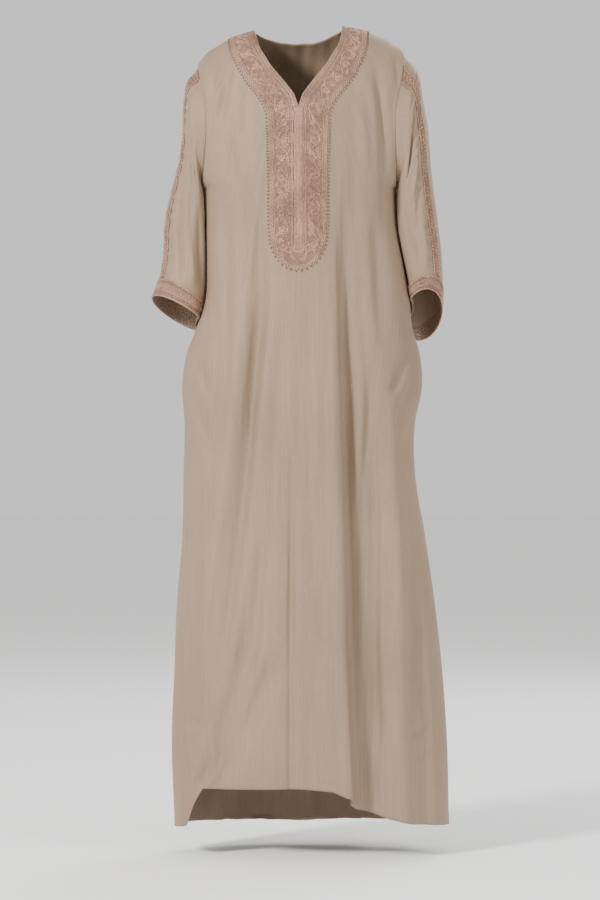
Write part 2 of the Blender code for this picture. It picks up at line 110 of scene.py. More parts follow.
robe = dict(
    centreX=-0.003, neckHalf=0.083, neckShare=0.43, backNeckZ=-0.018, neckRound=0.085,
    underarmZ=-0.3, armholeDepth=0.077, squareness=2.2, sidePower=0.5, chestPower=0.9,
    chestZ=-0.18, seamHalf=0.0, pocketTop=-0.5716, pocketLow=-0.7345, pocketGape=0.009,
    # height, left and right half width, front and back depth
    sections=np.array([
        (-1500, 236, 281, 150, 147),
        (-1330, 242, 277, 146, 143),
        (-1200, 237, 268, 142, 139),
        (-1090, 233, 256, 138, 136),
        (-950, 222, 236, 134, 133),
        (-840, 220, 218, 132, 131),
        (-740, 218, 217, 131, 130),
        (-670, 222, 230, 130, 126),
        (-610, 214, 226, 127, 120),
        (-560, 195, 212, 124, 114),
        (-510, 179, 207, 122, 108),
        (-440, 177, 196, 121, 104),
        (-370, 180, 184, 124, 106),
        (-300, 184, 182, 127, 112),
        (-230, 177, 179, 127, 117),
        (-150, 176, 181, 122, 117),
        (-70, 192, 194, 108, 108),
        (10, 194, 196, 95, 95),
    ]) / 1000,
    # place across, height
    shoulder=np.array([
        (-194, -70), (-186, -58), (-162, -36), (-124, -15), (-83, -3),
        (0, 8),
        (83, 4), (137, -8), (164, -20), (187, -33), (196, -40),
    ]) / 1000,
    # distance from the centre line, height
    neckEdge=np.array([
        (0, -156), (8, -134), (21, -117), (51, -79), (72, -42), (83, 0),
    ]) / 1000,
    # place across, height
    hemFront=np.array([
        (-240, -1495), (-212, -1488), (-198, -1448), (-182, -1415), (-100, -1414),
        (0, -1412), (60, -1417), (90, -1430), (112, -1452), (157, -1468),
        (206, -1481), (281, -1491),
    ]) / 1000,
    hemBack=np.array([(-240, -1495), (0, -1503), (281, -1491)]) / 1000,
    # top x, top z, low x, low z, bow, rise, width to the left, width to the right
    frontFolds=np.array([
        (52, -330, 90, -1500, -6, 9, 45, 10),
        (78, -300, 118, -1500, -6, -17, 10, 24),
        (-55, -300, -165, -1180, 9, -11, 20, 34),
        (-86, -420, -190, -1200, 6, 6, 22, 20),
        (-61, -930, -118, -1220, 0, -5, 14, 18),
        (-40, -1150, -192, -1440, 12, -12, 24, 28),
        (-17, -720, -20, -1500, 2, -3, 10, 12),
        (140, -700, 138, -1500, -12, -14, 18, 22),
        (176, -760, 200, -1500, 0, 7, 14, 16),
        (205, -640, 236, -1500, 0, -9, 12, 12),
        (165, -70, 166, -400, 10, -7, 10, 14),
        (118, -110, 155, -320, 4, -6, 14, 14),
        (-118, -170, -126, -520, -6, -6, 16, 18),
    ]) / 1000,
    backFolds=np.array([
        (-110, -520, -150, -1500, 8, -14, 24, 30),
        (-60, -620, -75, -1500, 0, 8, 24, 20),
        (12, -380, 20, -1500, -10, -15, 26, 22),
        (66, -560, 96, -1500, 4, 9, 24, 22),
        (118, -480, 160, -1500, 6, -13, 22, 30),
        (176, -700, 214, -1500, 0, 6, 18, 16),
        (-168, -720, -196, -1500, 0, -7, 16, 16),
        (-90, -100, -118, -420, 10, -6, 18, 18),
        (96, -100, 122, -400, -8, -6, 18, 18),
    ]) / 1000)


def smoothValue(table, column, place):
    # value of one column of a table whose first column rises
    keys = table[:, 0]
    values = table[:, column]
    place = np.clip(place, keys[0], keys[-1])
    i = np.clip(np.searchsorted(keys, place, side="right") - 1, 0, len(keys) - 2)
    slopes = np.gradient(values, keys)
    span = keys[i + 1] - keys[i]
    s = (place - keys[i]) / span
    near = (1 + 2 * s) * (1 - s) ** 2 * values[i] + s * (1 - s) ** 2 * span * slopes[i]
    far = s * s * (3 - 2 * s) * values[i + 1] + s * s * (s - 1) * span * slopes[i + 1]
    return near + far


def ease(value, low, high):
    s = np.clip((value - low) / (high - low), 0.0, 1.0)
    return s * s * (3 - 2 * s)


def halfWidth(side, z):
    return np.where(side < 0, smoothValue(robe["sections"], 1, z), smoothValue(robe["sections"], 2, z))


def sideOf(share):
    return np.where(share < 0, -1.0, 1.0)


def placeAcross(share, z):
    side = sideOf(share)
    return robe["centreX"] + share * (halfWidth(side, z) - side * robe["centreX"])


def shareAt(x, z):
    away = x - robe["centreX"]
    side = sideOf(away)
    return away / (halfWidth(side, z) - side * robe["centreX"])


def shoulderHeight(x):
    return smoothValue(robe["shoulder"], 1, x)


def armholeTop(side):
    return np.where(side < 0, robe["shoulder"][0, 1], robe["shoulder"][-1, 1])


def foldRelief(folds, x, z):
    # soft ridges and troughs, each with its own run, depth and two widths
    total = np.zeros_like(x)
    for topX, topZ, lowX, lowZ, bow, rise, left, right in folds:
        along = (topZ - z) / (topZ - lowZ)
        middle = topX + (lowX - topX) * along + bow * 4 * along * (1 - along)
        width = np.where(x < middle, left, right)
        fade = ease(along, 0.0, 0.3)
        if lowZ > -1.49:
            fade = fade * (1.0 - ease(along, 0.8, 1.0))
        shown = rise * fade * np.exp(-((x - middle) / width) ** 2)
        total += np.where((along > 0.0) & (along < 1.0), shown, 0.0)
    return total


def bodyDepth(share, z, isFront):
    side = sideOf(share)
    x = placeAcross(share, z)
    away = np.minimum(np.abs(share), 1.0)
    top = armholeTop(side)
    half = (top - robe["underarmZ"]) / 2
    middle = (top + robe["underarmZ"]) / 2
    lower = np.minimum((z - middle) / half, 0.0)
    edge = robe["armholeDepth"] * np.sqrt(np.maximum(1 - lower * lower, 0.0))
    edge = np.where(z > robe["underarmZ"], edge, 0.0)
    softEdge = robe["armholeDepth"] * ease(z, -0.36, -0.2)
    edge = softEdge + (edge - softEdge) * ease(away, 0.75, 1.0)
    low, high = robe["sidePower"], robe["chestPower"]
    power = low + (high - low) * ease(z, robe["underarmZ"], robe["chestZ"])
    full = smoothValue(robe["sections"], 3 if isFront else 4, z)
    depth = edge + (full - edge) * (1 - away ** robe["squareness"]) ** power
    depth += foldRelief(robe["frontFolds" if isFront else "backFolds"], x, z) * (1 - away ** 6)
    roundOver = robe["neckRound"] + (half - robe["neckRound"]) * away
    drop = np.clip(np.maximum(shoulderHeight(x) - z, 0.0) / roundOver, 0.0, 1.0)
    return depth * np.sqrt(np.maximum(1 - (1 - drop) ** 2, 0.0))


def bodySurface(share, z, isFront):
    # points of the body cloth and the way they face
    front = -1.0 if isFront else 1.0

    def spot(s, h):
        return np.column_stack((placeAcross(s, h), front * bodyDepth(s, h, isFront), h))

    points = spot(share, z)
    step = 0.002
    inner = np.clip(share, step - 1, 1 - step)
    ridge = shoulderHeight(placeAcross(inner, z))
    across = spot(inner + step, z) - spot(inner - step, z)
    down = spot(inner, np.minimum(z, ridge) - step) - spot(inner, np.minimum(z + step, ridge))
    normals = np.cross(down, across) * (1.0 if isFront else -1.0)
    normals /= np.linalg.norm(normals, axis=1)[:, None]
    return points, normals


def roundedLength(drop):
    # cloth over the round of the shoulder, down to a drop below it
    turn = robe["neckRound"]
    curved = turn * np.arccos(np.clip(1 - drop / turn, -1.0, 1.0))
    return np.where(drop >= turn, turn * math.pi / 2 + drop - turn, curved)


def roundedDrop(length):
    turn = robe["neckRound"]
    curved = turn * (1 - np.cos(length / turn))
    return np.where(length >= turn * math.pi / 2, length - turn * math.pi / 2 + turn, curved)


def neckHeight(share, isFront):
    away = np.abs(share) / robe["neckShare"] * robe["neckHalf"]
    sidePoint = shoulderHeight(robe["centreX"] + sideOf(share) * robe["neckHalf"])
    if isFront:
        edge = robe["neckEdge"]
        return np.interp(away, edge[:, 0], edge[:, 1]) + sidePoint * away / robe["neckHalf"]
    return sidePoint + (robe["backNeckZ"] - sidePoint) * (1 - (away / robe["neckHalf"]) ** 2.4)


def topHeight(share, isFront):
    # top edge of the cloth above each column: the neck edge, then the shoulder seam
    top = armholeTop(sideOf(share))
    for _ in range(6):
        top = shoulderHeight(placeAcross(share, top))
    inNeck = np.abs(share) < robe["neckShare"]
    return np.where(inNeck, neckHeight(share, isFront), top)


def hemHeight(share, isFront):
    table = robe["hemFront" if isFront else "hemBack"]
    return np.interp(placeAcross(share, np.full_like(share, -1.45)), table[:, 0], table[:, 1])


sides = (("left", -1), ("right", 1))
print("body form ready")

# cloth pieces: a grid is made flat, then its points are moved onto the form


def asObject(name, mesh):
    mesh.shade_smooth()
    piece = bpy.data.objects.new(name, mesh)
    bpy.context.scene.collection.objects.link(piece)
    return piece


def gridSheet(name, across, down, place, merged=False):
    # place takes u and v from 0 to 1, left to right and top to bottom, and gives the points
    flat = bmesh.new()
    bmesh.ops.create_grid(flat, x_segments=across, y_segments=down, size=0.5)
    mesh = bpy.data.meshes.new(name)
    flat.to_mesh(mesh)
    flat.free()
    spots = np.empty(len(mesh.vertices) * 3)
    mesh.vertices.foreach_get("co", spots)
    u = spots[0::3] + 0.5
    v = 0.5 - spots[1::3]
    columns = np.rint(u * across).astype(int)
    rows = np.rint(v * down).astype(int)
    points = place(u, v)
    mesh.vertices.foreach_set("co", points.ravel())

    # flat lengths of the cloth in metres, kept as its UV map: across from the middle, up from the hem
    grid = np.empty((down + 1, across + 1, 3))
    grid[rows, columns] = points
    wide = np.linalg.norm(np.diff(grid, axis=1), axis=2)
    wide = np.concatenate((np.zeros((down + 1, 1)), np.cumsum(wide, axis=1)), axis=1)
    wide -= wide[:, across // 2][:, None]
    long = np.linalg.norm(np.diff(grid, axis=0), axis=2)
    long = np.concatenate((np.cumsum(long[::-1], axis=0)[::-1], np.zeros((1, across + 1))), axis=0)
    corners = np.empty(len(mesh.loops), dtype=int)
    mesh.loops.foreach_get("vertex_index", corners)
    laid = mesh.uv_layers.new(name="cloth")
    flatPlaces = np.column_stack((wide[rows, columns], long[rows, columns]))[corners]
    laid.data.foreach_set("uv", flatPlaces.ravel())
    counted = mesh.uv_layers.new(name="grid")
    counted.data.foreach_set("uv", np.column_stack((u, v))[corners].ravel())
    if merged:
        welded = bmesh.new()
        welded.from_mesh(mesh)
        bmesh.ops.remove_doubles(welded, verts=welded.verts, dist=0.00005)
        welded.to_mesh(mesh)
        welded.free()
    return asObject(name, mesh)


def dress(piece, material, slotName, *nodes):
    piece.data.materials.append(material)
    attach(piece, "root")
    if nodes:
        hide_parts(*nodes)


def finishSheet(piece, plan, material, slotName, node):
    # the cloth gets its wall, inward, as a solidify modifier
    wall = piece.modifiers.new("wall", "SOLIDIFY")
    wall.thickness = plan["thickness"]
    wall.offset = -1.0
    dress(piece, material, slotName, node)
    return piece


def creaseRelief(creases, across, along):
    # finer creases on any sheet: across start, along start, across end, along end, bow, rise, widths
    total = np.zeros_like(across)
    for acrossOne, alongOne, acrossTwo, alongTwo, bow, rise, left, right in creases:
        run = np.array((acrossTwo - acrossOne, alongTwo - alongOne))
        length = math.hypot(*run)
        run /= length
        s = ((across - acrossOne) * run[0] + (along - alongOne) * run[1]) / length
        off = (across - acrossOne) * -run[1] + (along - alongOne) * run[0]
        off = off - bow * 4 * s * (1 - s)
        width = np.where(off < 0, left, right)
        fade = ease(s, 0.0, 0.35) * (1 - ease(s, 0.62, 1.0))
        total += rise * fade * np.exp(-(off / width) ** 2)
    return total


def hangingWaves(x, z):
    # shallow folds that hang from the shoulders, never quite straight or even
    drift = 0.9 * np.sin(3.1 * z + 11 * x) + 0.5 * np.sin(7.7 * z - 19 * x + 1.3)
    wideFade = 0.55 + 0.45 * np.sin(5.2 * z + 23 * x)
    fineFade = 0.5 + 0.5 * np.sin(8.9 * z - 31 * x + 2.1)
    wide = 0.00085 * np.sin(118 * x + 2.2 * drift + 4 * z) * wideFade
    return wide + 0.00042 * np.sin(236 * x - 2.6 * drift - 6 * z + 0.8) * fineFade


def softWaves(a, b):
    # the slight unevenness of hanging cloth
    return (0.0004 * np.sin(31 * a + 4.1 * b + 0.7) * np.sin(9 * b - 3 * a + 1.1)
            + 0.00028 * np.sin(57 * a - 7 * b + 2.0) * np.sin(13 * b + 11 * a)
            + 0.00018 * np.sin(95 * a + 15 * b) * np.sin(24 * b - 21 * a + 0.4))


chestBand = dict(
    # inner away, inner height, outer away, outer height, from the shoulder down one side
    rows=np.array([
        (91.7, 0, 133, -10), (80, -45, 124.5, -62),
        (58, -84, 98.5, -113), (28.1, -122.4, 70, -152),
        (17, -137, 62.2, -172), (10.5, -160, 60.8, -198),
        (9, -195, 60.3, -218), (9, -260, 59, -265),
        (9, -330, 58.3, -330), (9, -380, 57, -385),
        (9, -406, 52, -418), (8.5, -415, 40, -441),
        (6, -421.5, 20, -458), (0, -424, 0, -464),
    ]) / 1000)


def outerEdge(z):
    # how far out the worked band reaches at a height
    rows = chestBand["rows"][::-1]
    return np.interp(z, rows[:, 3], rows[:, 2], left=0.0)


def pastBand(x, z):
    # distance outside the worked band, negative inside it
    away = np.abs(x - robe["centreX"])
    low = chestBand["rows"][-1][3]
    return np.where(z < low, np.maximum(low - z, away - 0.05), away - outerEdge(z))


panels = dict(
    thickness=0.0007, hemDeep=0.018, hemRise=0.0005, seamPull=0.0009,
    frontSize=(168, 236), backSize=(132, 200),
    # across and height at both ends, bow, rise, widths
    frontCreases=np.array([
        (-57, -300, -166, -1330, 10, -8.5, 9, 16),
        (-44, -340, -144, -1280, 10, 4, 12, 12),
        (-70, -1040, -226, -1500, 14, -9.5, 16, 26),
        (-48, -1080, -200, -1520, 14, 4, 10, 12),
        (148, -680, 134, -1420, -6, -7, 8, 12),
        (176, -640, 190, -1700, 0, 5, 14, 12),
        (202, -740, 230, -1700, 0, -5, 8, 12),
        (-126, -40, -156, -200, 3, -5, 6, 10),
        (-110, -60, -130, -420, 3, 3, 10, 10),
        (-148, -280, -140, -620, 4, -3.6, 8, 12),
        (-92, -260, -116, -520, 3, -4, 7, 10),
        (138, -50, 162, -360, 6, -6, 6, 10),
        (124, -60, 144, -420, 6, 3.6, 9, 7),
        (80, -260, 84, -600, 3, -4, 7, 10),
        (108, -420, 134, -980, 4, -5, 8, 12),
        (-188, -740, -200, -1260, 0, -4, 9, 11),
        (-18, -700, -22, -1900, 2, -3, 5, 7),
        (60.5, -290, 114, -1950, -4, 5, 18, 4.5),
        (67.5, -290, 121.5, -1950, -4, -11, 4, 20),
        (-63, -300, -83, -520, -4, -6.2, 7, 12),
        (-142, -50, -162, -135, 3, -6.2, 7, 9),
        (-150, -90, -158, -210, 0, 3.1, 8, 8),
        (-135, -200, -118, -330, 4, -3.4, 8, 10),
        (-100, -180, -106, -330, 0, 2.5, 9, 9),
        (177, -40, 192, -230, 3, -7, 6, 9),
        (136, -80, 164, -290, 4, -5.3, 8, 8),
        (156, -110, 160, -180, 0, 3.1, 7, 8),
        (110, -140, 125, -300, 0, 2.8, 9, 9),
        (95, -240, 100, -420, 3, -3.1, 9, 10),
        (132, -330, 150, -640, 4, -5, 10, 12),
        (148, -560, 112, -1060, -10, -6.5, 10, 14),
        (170, -620, 162, -980, 4, 4, 11, 12),
        (208, -600, 156, -700, 4, -6.5, 7, 8),
        (214, -640, 170, -760, 3, -5.6, 7, 9),
        (206, -690, 180, -800, 2, 3.4, 7, 8),
        (-202, -600, -158, -700, -4, -5.3, 7, 8),
        (-206, -660, -166, -780, -3, -4.3, 8, 8),
        (-198, -720, -170, -860, -2, 3.1, 8, 9),
        (-62, -900, -105, -1240, 4, -4.3, 10, 14),
        (-16, -720, -19, -1200, 2, -2.2, 5, 6),
        (-72, -1240, -198, -1430, 8, -3, 14, 16),
        (-230, -1285, -170, -1296, 2, -3.4, 6, 7),
        (-226, -1320, -184, -1332, 1, -2.2, 5, 6),
        (190, -1318, 262, -1300, -2, -3.1, 6, 7),
        (212, -1362, 268, -1350, 1, -2.2, 5, 6),
        (130, -1060, 150, -1400, -4, -5.6, 10, 14),
        (194, -1000, 220, -1380, 3, 4, 12, 12),
        (20, -520, 30, -940, 2, 1.9, 14, 14),
        (-40, -560, -52, -860, 2, -1.9, 12, 12),
    ]) / 1000,
    backCreases=np.array([
        (-40, -40, -90, -120, 4, -3.8, 8, 10),
        (45, -40, 98, -130, -4, -4.1, 8, 10),
        (-145, -80, -162, -260, 3, -5.8, 8, 9),
        (148, -70, 166, -250, -3, -5.5, 8, 9),
        (-50, -220, -70, -480, 4, -3.2, 10, 12),
        (30, -280, 36, -620, 4, 2.6, 12, 12),
        (72, -240, 86, -500, -3, -3.5, 10, 12),
        (-196, -620, -150, -740, -4, -5.2, 8, 9),
        (206, -610, 160, -730, 4, -5.5, 8, 9),
        (-10, -640, -24, -1050, 4, -4.3, 10, 14),
        (100, -760, 126, -1200, 4, -4.9, 10, 14),
        (-124, -820, -164, -1260, 4, -4.9, 12, 14),
        (-220, -1250, -164, -1264, 2, -2.6, 6, 7),
        (196, -1290, 260, -1276, 2, -2.6, 6, 7),
        (50, -1100, 62, -1420, 3, 3.8, 12, 12),
    ]) / 1000)


def panelRelief(share, z, isFront):
    # creases, hem and seams of a panel, measured out of its face
    x = placeAcross(share, z)
    away = np.abs(share)
    creases = creaseRelief(panels["frontCreases" if isFront else "backCreases"], x, z)
    relief = 1.2 * creases + softWaves(x, z) + 1.35 * hangingWaves(x, z)
    if isFront:
        relief = relief * ease(pastBand(x, z), -0.002, 0.022)
        edge = np.exp(-(np.maximum(pastBand(x, z), 0.0) / 0.014) ** 2) * (pastBand(x, z) > 0)
        relief += edge * (0.00035 * np.sin(z * 410 + 2 * np.sin(z * 97)) - 0.0003)
    relief = relief * (1 - away ** 10)
    aboveHem = z - hemHeight(share, isFront)
    relief += panels["hemRise"] * (1 - ease(aboveHem, panels["hemDeep"] - 0.004, panels["hemDeep"]))
    relief -= panels["seamPull"] * ease(away, 0.988, 1.0)
    return relief


def onPanel(share, z, isFront, lift=0.0):
    points, normals = bodySurface(share, z, isFront)
    points = points + normals * (panelRelief(share, z, isFront) + lift)[:, None]
    return points, normals


def pocketGape(z):
    along = (robe["pocketTop"] - z) / (robe["pocketTop"] - robe["pocketLow"])
    return robe["pocketGape"] * np.sin(math.pi * np.clip(along, 0.0, 1.0))


def panelPlace(isFront):
    def place(u, v):
        across = (u - 0.5) * 2 * (1 if isFront else -1)
        turn = np.minimum(np.abs(across) / 0.56, 1.0)
        inNeck = robe["neckShare"] * (0.3 * turn + 0.7 * (1 - np.cos(math.pi * turn)) / 2)
        start = math.asin(robe["neckShare"])
        past = np.clip((np.abs(across) - 0.56) / 0.44, 0.0, 1.0)
        outside = np.sin(start + (math.pi / 2 - start) * past)
        share = np.where(np.abs(across) < 0.56, inNeck, outside) * sideOf(across)
        top = topHeight(share, isFront)
        ridge = np.maximum(shoulderHeight(placeAcross(share, top)), top)
        start = roundedLength(ridge - top)
        whole = roundedLength(ridge - robe["underarmZ"]) - start
        upper = np.clip(v / 0.3, 0.0, 1.0)
        even = ridge - roundedDrop(start + whole * upper)
        tight = top + (robe["underarmZ"] - top) * (1 - np.cos(math.pi * upper)) / 2
        z = even + (tight - even) * ease(np.abs(share), 0.8, 1.0)
        lower = np.clip((v - 0.3) / 0.7, 0.0, 1.0)
        lower = lower * (1 + 0.35 * (1 - lower))
        under = robe["underarmZ"] + (hemHeight(share, isFront) - robe["underarmZ"]) * lower
        z = np.where(v > 0.3, under, z)
        points = onPanel(share, z, isFront)[0]
        keep = np.maximum(np.abs(points[:, 1]), robe["seamHalf"])
        onSeam = (v < 1e-6) & (np.abs(share) >= robe["neckShare"] - 1e-6)
        keep = np.where(onSeam, robe["seamHalf"], keep)
        keep = np.where(np.abs(share) > 0.992, np.maximum(keep, pocketGape(z)), keep)
        points[:, 1] = -keep if isFront else keep
        return points
    return place


# sleeves: a row is a ring of the sleeve, from the armhole down to its end
sleeves = dict(
    armholeGap=-0.0016, clear=0.005, size=(112, 132), thickness=0.0007,
    # outer x, outer z, inner x, inner z, middle y, half depth, tilt of the ring to the front
    left=np.array([
        (194, -66.3, 184, -300, 0, 77, 0),
        (209.5, -92, 184, -306, 3, 79, 0),
        (216.5, -118, 180, -313, 6, 80, 0),
        (219.5, -155, 176, -325, 10, 80, 0),
        (221.5, -200, 172, -342, 14, 80, 0),
        (228.5, -250, 168, -365, 18, 79, 2),
        (240, -293, 166, -392, 21, 78, 4),
        (250, -333, 164, -420, 24, 77, 6),
        (255.5, -372, 164, -447, 26, 76, 8),
        (257, -410, 164, -474, 28, 76, 11),
        (260, -443, 166, -500, 28, 76, 13),
        (267, -472, 172, -528, 28, 77, 15),
        (279, -506, 176, -560, 27, 78, 17),
    ]) / 1000,
    right=np.array([
        (196, -37.8, 184, -300, 0, 77, 0),
        (216, -66, 184, -306, 3, 80, 0),
        (226.5, -92, 180, -313, 6, 81, 0),
        (232, -130, 176, -325, 10, 81, 0),
        (241, -180, 172, -343, 14, 81, 2),
        (245.5, -230, 170, -366, 18, 80, 6),
        (250, -280, 169, -393, 21, 79, 12),
        (256.5, -330, 170, -420, 24, 78, 18),
        (262, -375, 173, -447, 27, 78, 25),
        (267, -415, 178, -472, 29, 78, 31),
        (269.5, -455, 183, -497, 31, 78, 37),
        (270, -493, 189, -520, 32, 78, 41),
        (268, -529, 196, -542, 33, 78, 45),
    ]) / 1000,
    # angle and ring at both ends, bow, rise, widths as angles; an angle of 1 is about 80 mm of cloth
    leftCreases=[
        (0.86, 1.4, 1.85, 4.7, 0.1, -0.0105, 0.06, 0.13),
        (0.78, 2.4, 1.5, 5.6, 0.08, 0.0045, 0.12, 0.09),
        (0.75, 0.6, 1.35, 5.2, 0.05, -0.0056, 0.14, 0.16),
        (1.2, 2.2, 1.75, 7.6, 0.05, -0.0042, 0.12, 0.14),
        (0.62, 4.0, 1.05, 9.6, -0.04, 0.0039, 0.12, 0.14),
        (1.15, 6.0, 1.55, 11.4, 0.04, -0.0067, 0.11, 0.15),
        (1.62, 7.0, 1.95, 11.6, 0.0, 0.0036, 0.12, 0.12),
        (1.95, 5.0, 2.25, 11.0, 0.0, -0.0042, 0.12, 0.14),
        (-0.55, 1.0, -0.75, 6.0, 0.0, -0.0048, 0.15, 0.13),
        (-1.05, 3.0, -1.3, 9.0, 0.03, -0.0056, 0.15, 0.15),
        (-1.6, 1.5, -1.7, 7.5, 0.0, 0.0042, 0.16, 0.14),
        (-2.1, 4.0, -2.05, 11.0, 0.03, -0.0048, 0.14, 0.14),
        (-0.62, 6.5, -0.85, 11.4, 0.02, 0.0036, 0.12, 0.12),
    ],
    rightCreases=[
        (1.12, 1.6, 1.95, 4.6, 0.1, -0.0105, 0.06, 0.13),
        (1.1, 3.2, 1.66, 6.2, 0.08, 0.0048, 0.12, 0.09),
        (0.7, 1.0, 1.05, 5.8, -0.04, -0.0064, 0.12, 0.15),
        (1.05, 2.4, 1.55, 8.6, 0.05, -0.0056, 0.12, 0.16),
        (0.66, 5.2, 0.9, 10.6, 0.03, -0.0042, 0.1, 0.12),
        (1.25, 6.0, 1.4, 11.4, 0.0, 0.0042, 0.12, 0.13),
        (1.75, 4.5, 1.9, 11.0, 0.04, -0.005, 0.13, 0.15),
        (0.95, 7.6, 1.1, 11.8, 0.02, 0.0031, 0.09, 0.1),
        (-0.5, 0.8, -0.7, 5.5, 0.0, -0.005, 0.14, 0.14),
        (-1.0, 3.5, -1.2, 9.5, -0.03, -0.0059, 0.15, 0.15),
        (-1.5, 1.5, -1.65, 8.0, 0.03, 0.0042, 0.15, 0.15),
        (-2.05, 4.0, -2.1, 11.0, 0.0, -0.0048, 0.14, 0.14),
        (-0.58, 6.0, -0.8, 11.4, 0.02, 0.0036, 0.12, 0.12),
    ],
    # start and end angle of the band down the outer arm
    bandLeft=(0.349, 0.698), bandRight=(0.698, 1.047))


def sleeveTable(side):
    table = sleeves["left" if side < 0 else "right"]
    return np.column_stack((np.arange(len(table), dtype=float), table))


def bodyReach(side, y, z, ring):
    # how far out the body reaches beside the sleeve, with a clear gap
    front = smoothValue(robe["sections"], 3, z)
    back = smoothValue(robe["sections"], 4, z)
    level = np.minimum(np.abs(y) / np.where(y < 0, front, back), 1.0) ** (1 / robe["sidePower"])
    reach = halfWidth(side, z) * (1 - level) ** (1 / robe["squareness"])
    gap = sleeves["armholeGap"] + (sleeves["clear"] - sleeves["armholeGap"]) * ease(ring, 0.0, 1.5)
    return np.where(z > robe["underarmZ"], 0.0, reach + gap)


def sleeveSpot(side, ring, angle):
    # an angle of 0 is the outer arm, and it turns over the front
    table = sleeveTable(side)
    outerX, outerZ, innerX, innerZ, middleY, depth, tilt = (
        smoothValue(table, column, ring) for column in range(1, 8))
    toward = (1 + np.cos(angle)) / 2
    turn = np.sin(angle)
    y = middleY - depth * turn
    z = innerZ + (outerZ - innerZ) * toward + tilt * turn
    x = innerX + (outerX - innerX) * toward
    seamX = halfWidth(side, z) + sleeves["armholeGap"]
    x = np.where(z > robe["underarmZ"], x + (seamX - x) * (1 - ease(ring, 0.0, 1.0)), x)
    x = np.maximum(x, bodyReach(side, y, z, ring))
    return np.column_stack((side * x, y, z))


def sleeveRelief(side, ring, angle):
    turned = (angle + math.pi) % (2 * math.pi) - math.pi
    relief = creaseRelief(sleeves["leftCreases" if side < 0 else "rightCreases"], turned, ring)
    relief += 1.3 * softWaves(turned * 0.08 + 0.3 * side, ring * 0.035)
    first, last = sleeves["bandLeft" if side < 0 else "bandRight"]
    beside = np.maximum(np.abs(turned - (first + last) / 2) - (last - first) / 2, 0.0)
    pucker = np.sin(ring * 9.4 + 1.7 * np.sin(ring * 2.9 + side) + 5 * beside)
    relief = relief * ease(beside, -0.01, 0.22)
    relief += 0.0019 * pucker * np.exp(-(beside / 0.26) ** 2) * ease(beside, 0.0, 0.05)
    relief = relief * ease(ring, 0.1, 1.0) * (1 - ease(ring, 10.2, 11.0))
    # the back of the sleeve's inner side lies near the body, so it stays smooth
    relief = relief * (1 - ease(np.abs(turned), 2.2, 2.6))
    relief += 0.0012 * np.exp(-((ring - 0.32) / 0.22) ** 2) * (1 - ease(np.abs(turned), 2.0, 2.6))
    return relief - 0.0009 * (1 - ease(ring, 0.0, 0.12))


def onSleeve(side, ring, angle, lift=0.0):
    points = sleeveSpot(side, ring, angle)
    ringStep = 0.02
    angleStep = 0.01
    low = np.clip(ring - ringStep, 0.0, 12.0)
    high = np.clip(ring + ringStep, 0.0, 12.0)
    along = sleeveSpot(side, high, angle) - sleeveSpot(side, low, angle)
    around = sleeveSpot(side, ring, angle + angleStep) - sleeveSpot(side, ring, angle - angleStep)
    normals = np.cross(along, around) * side * -1.0
    normals /= np.linalg.norm(normals, axis=1)[:, None]
    return points + normals * (sleeveRelief(side, ring, angle) + lift)[:, None], normals


def sleevePlace(side):
    def place(u, v):
        ring = 12.0 * (0.25 * v * v + 0.75 * v)
        return onSleeve(side, ring, -2 * math.pi * side * u)[0]
    return place


def makeCloth(material, sleeveMaterial):
    for word, isFront in (("front", True), ("back", False)):
        piece = gridSheet(word + "Cloth", *panels[word + "Size"], panelPlace(isFront))
        finishSheet(piece, panels, material, "cloth", word + "_panel")
    for word, side in sides:
        piece = gridSheet("sleeveCloth_" + word, *sleeves["size"], sleevePlace(side), merged=True)
        finishSheet(piece, sleeves, sleeveMaterial, "cloth", "sleeve_" + word)


# finishes
clothFinish = dict(
    light=(0.318, 0.22, 0.147), dark=(0.205, 0.14, 0.091), rough=0.58, sheen=0.11,
    threadPitch=0.0007, threadHeight=0.000018, slubHeight=0.00007, crumpleHeight=0.0011,
    reverseLight=(0.3, 0.195, 0.135), reverseDark=(0.085, 0.048, 0.03), reverseFrom=0.938)
# the worked ground's dark colour is mostly painted shade in the gaps between its stitches
workFinish = dict(
    light=(0.285, 0.162, 0.106), dark=(0.07, 0.034, 0.021), rough=0.66, sheen=0.12,
    stitchPitch=0.0013, stitchHeight=0.00022, patch=190.0)
threadFinish = dict(
    light=(0.452, 0.27, 0.182), dark=(0.125, 0.064, 0.039), rough=0.5, sheen=0.16,
    twistPitch=0.0011, twistHeight=0.00012)


def newFinish(name, plan):
    paint = bpy.data.materials.new(name)
    paint.use_nodes = True
    tree = paint.node_tree
    shader = tree.nodes["Principled BSDF"]
    shader.inputs["Roughness"].default_value = plan["rough"]
    shader.inputs["Specular IOR Level"].default_value = 0.32
    shader.inputs["Sheen Weight"].default_value = plan["sheen"]
    shader.inputs["Sheen Roughness"].default_value = 0.45
    shader.inputs["Sheen Tint"].default_value = (0.85, 0.68, 0.55, 1.0)
    return paint, tree, shader


def addNode(tree, kind, **values):
    node = tree.nodes.new(kind)
    for name, value in values.items():
        if hasattr(node, name):
            setattr(node, name, value)
        else:
            node.inputs[name].default_value = value
    return node


def scaled(tree, source, scale, turn=0.0):
    node = tree.nodes.new("ShaderNodeMapping")
    node.inputs["Scale"].default_value = scale
    node.inputs["Rotation"].default_value = (0.0, 0.0, turn)
    tree.links.new(source, node.inputs["Vector"])
    return node.outputs["Vector"]


def noise(tree, source, scale, detail, rough=0.5):
    node = addNode(tree, "ShaderNodeTexNoise", Scale=scale, Detail=detail, Roughness=rough)
    tree.links.new(source, node.inputs["Vector"])
    return node.outputs["Fac"]


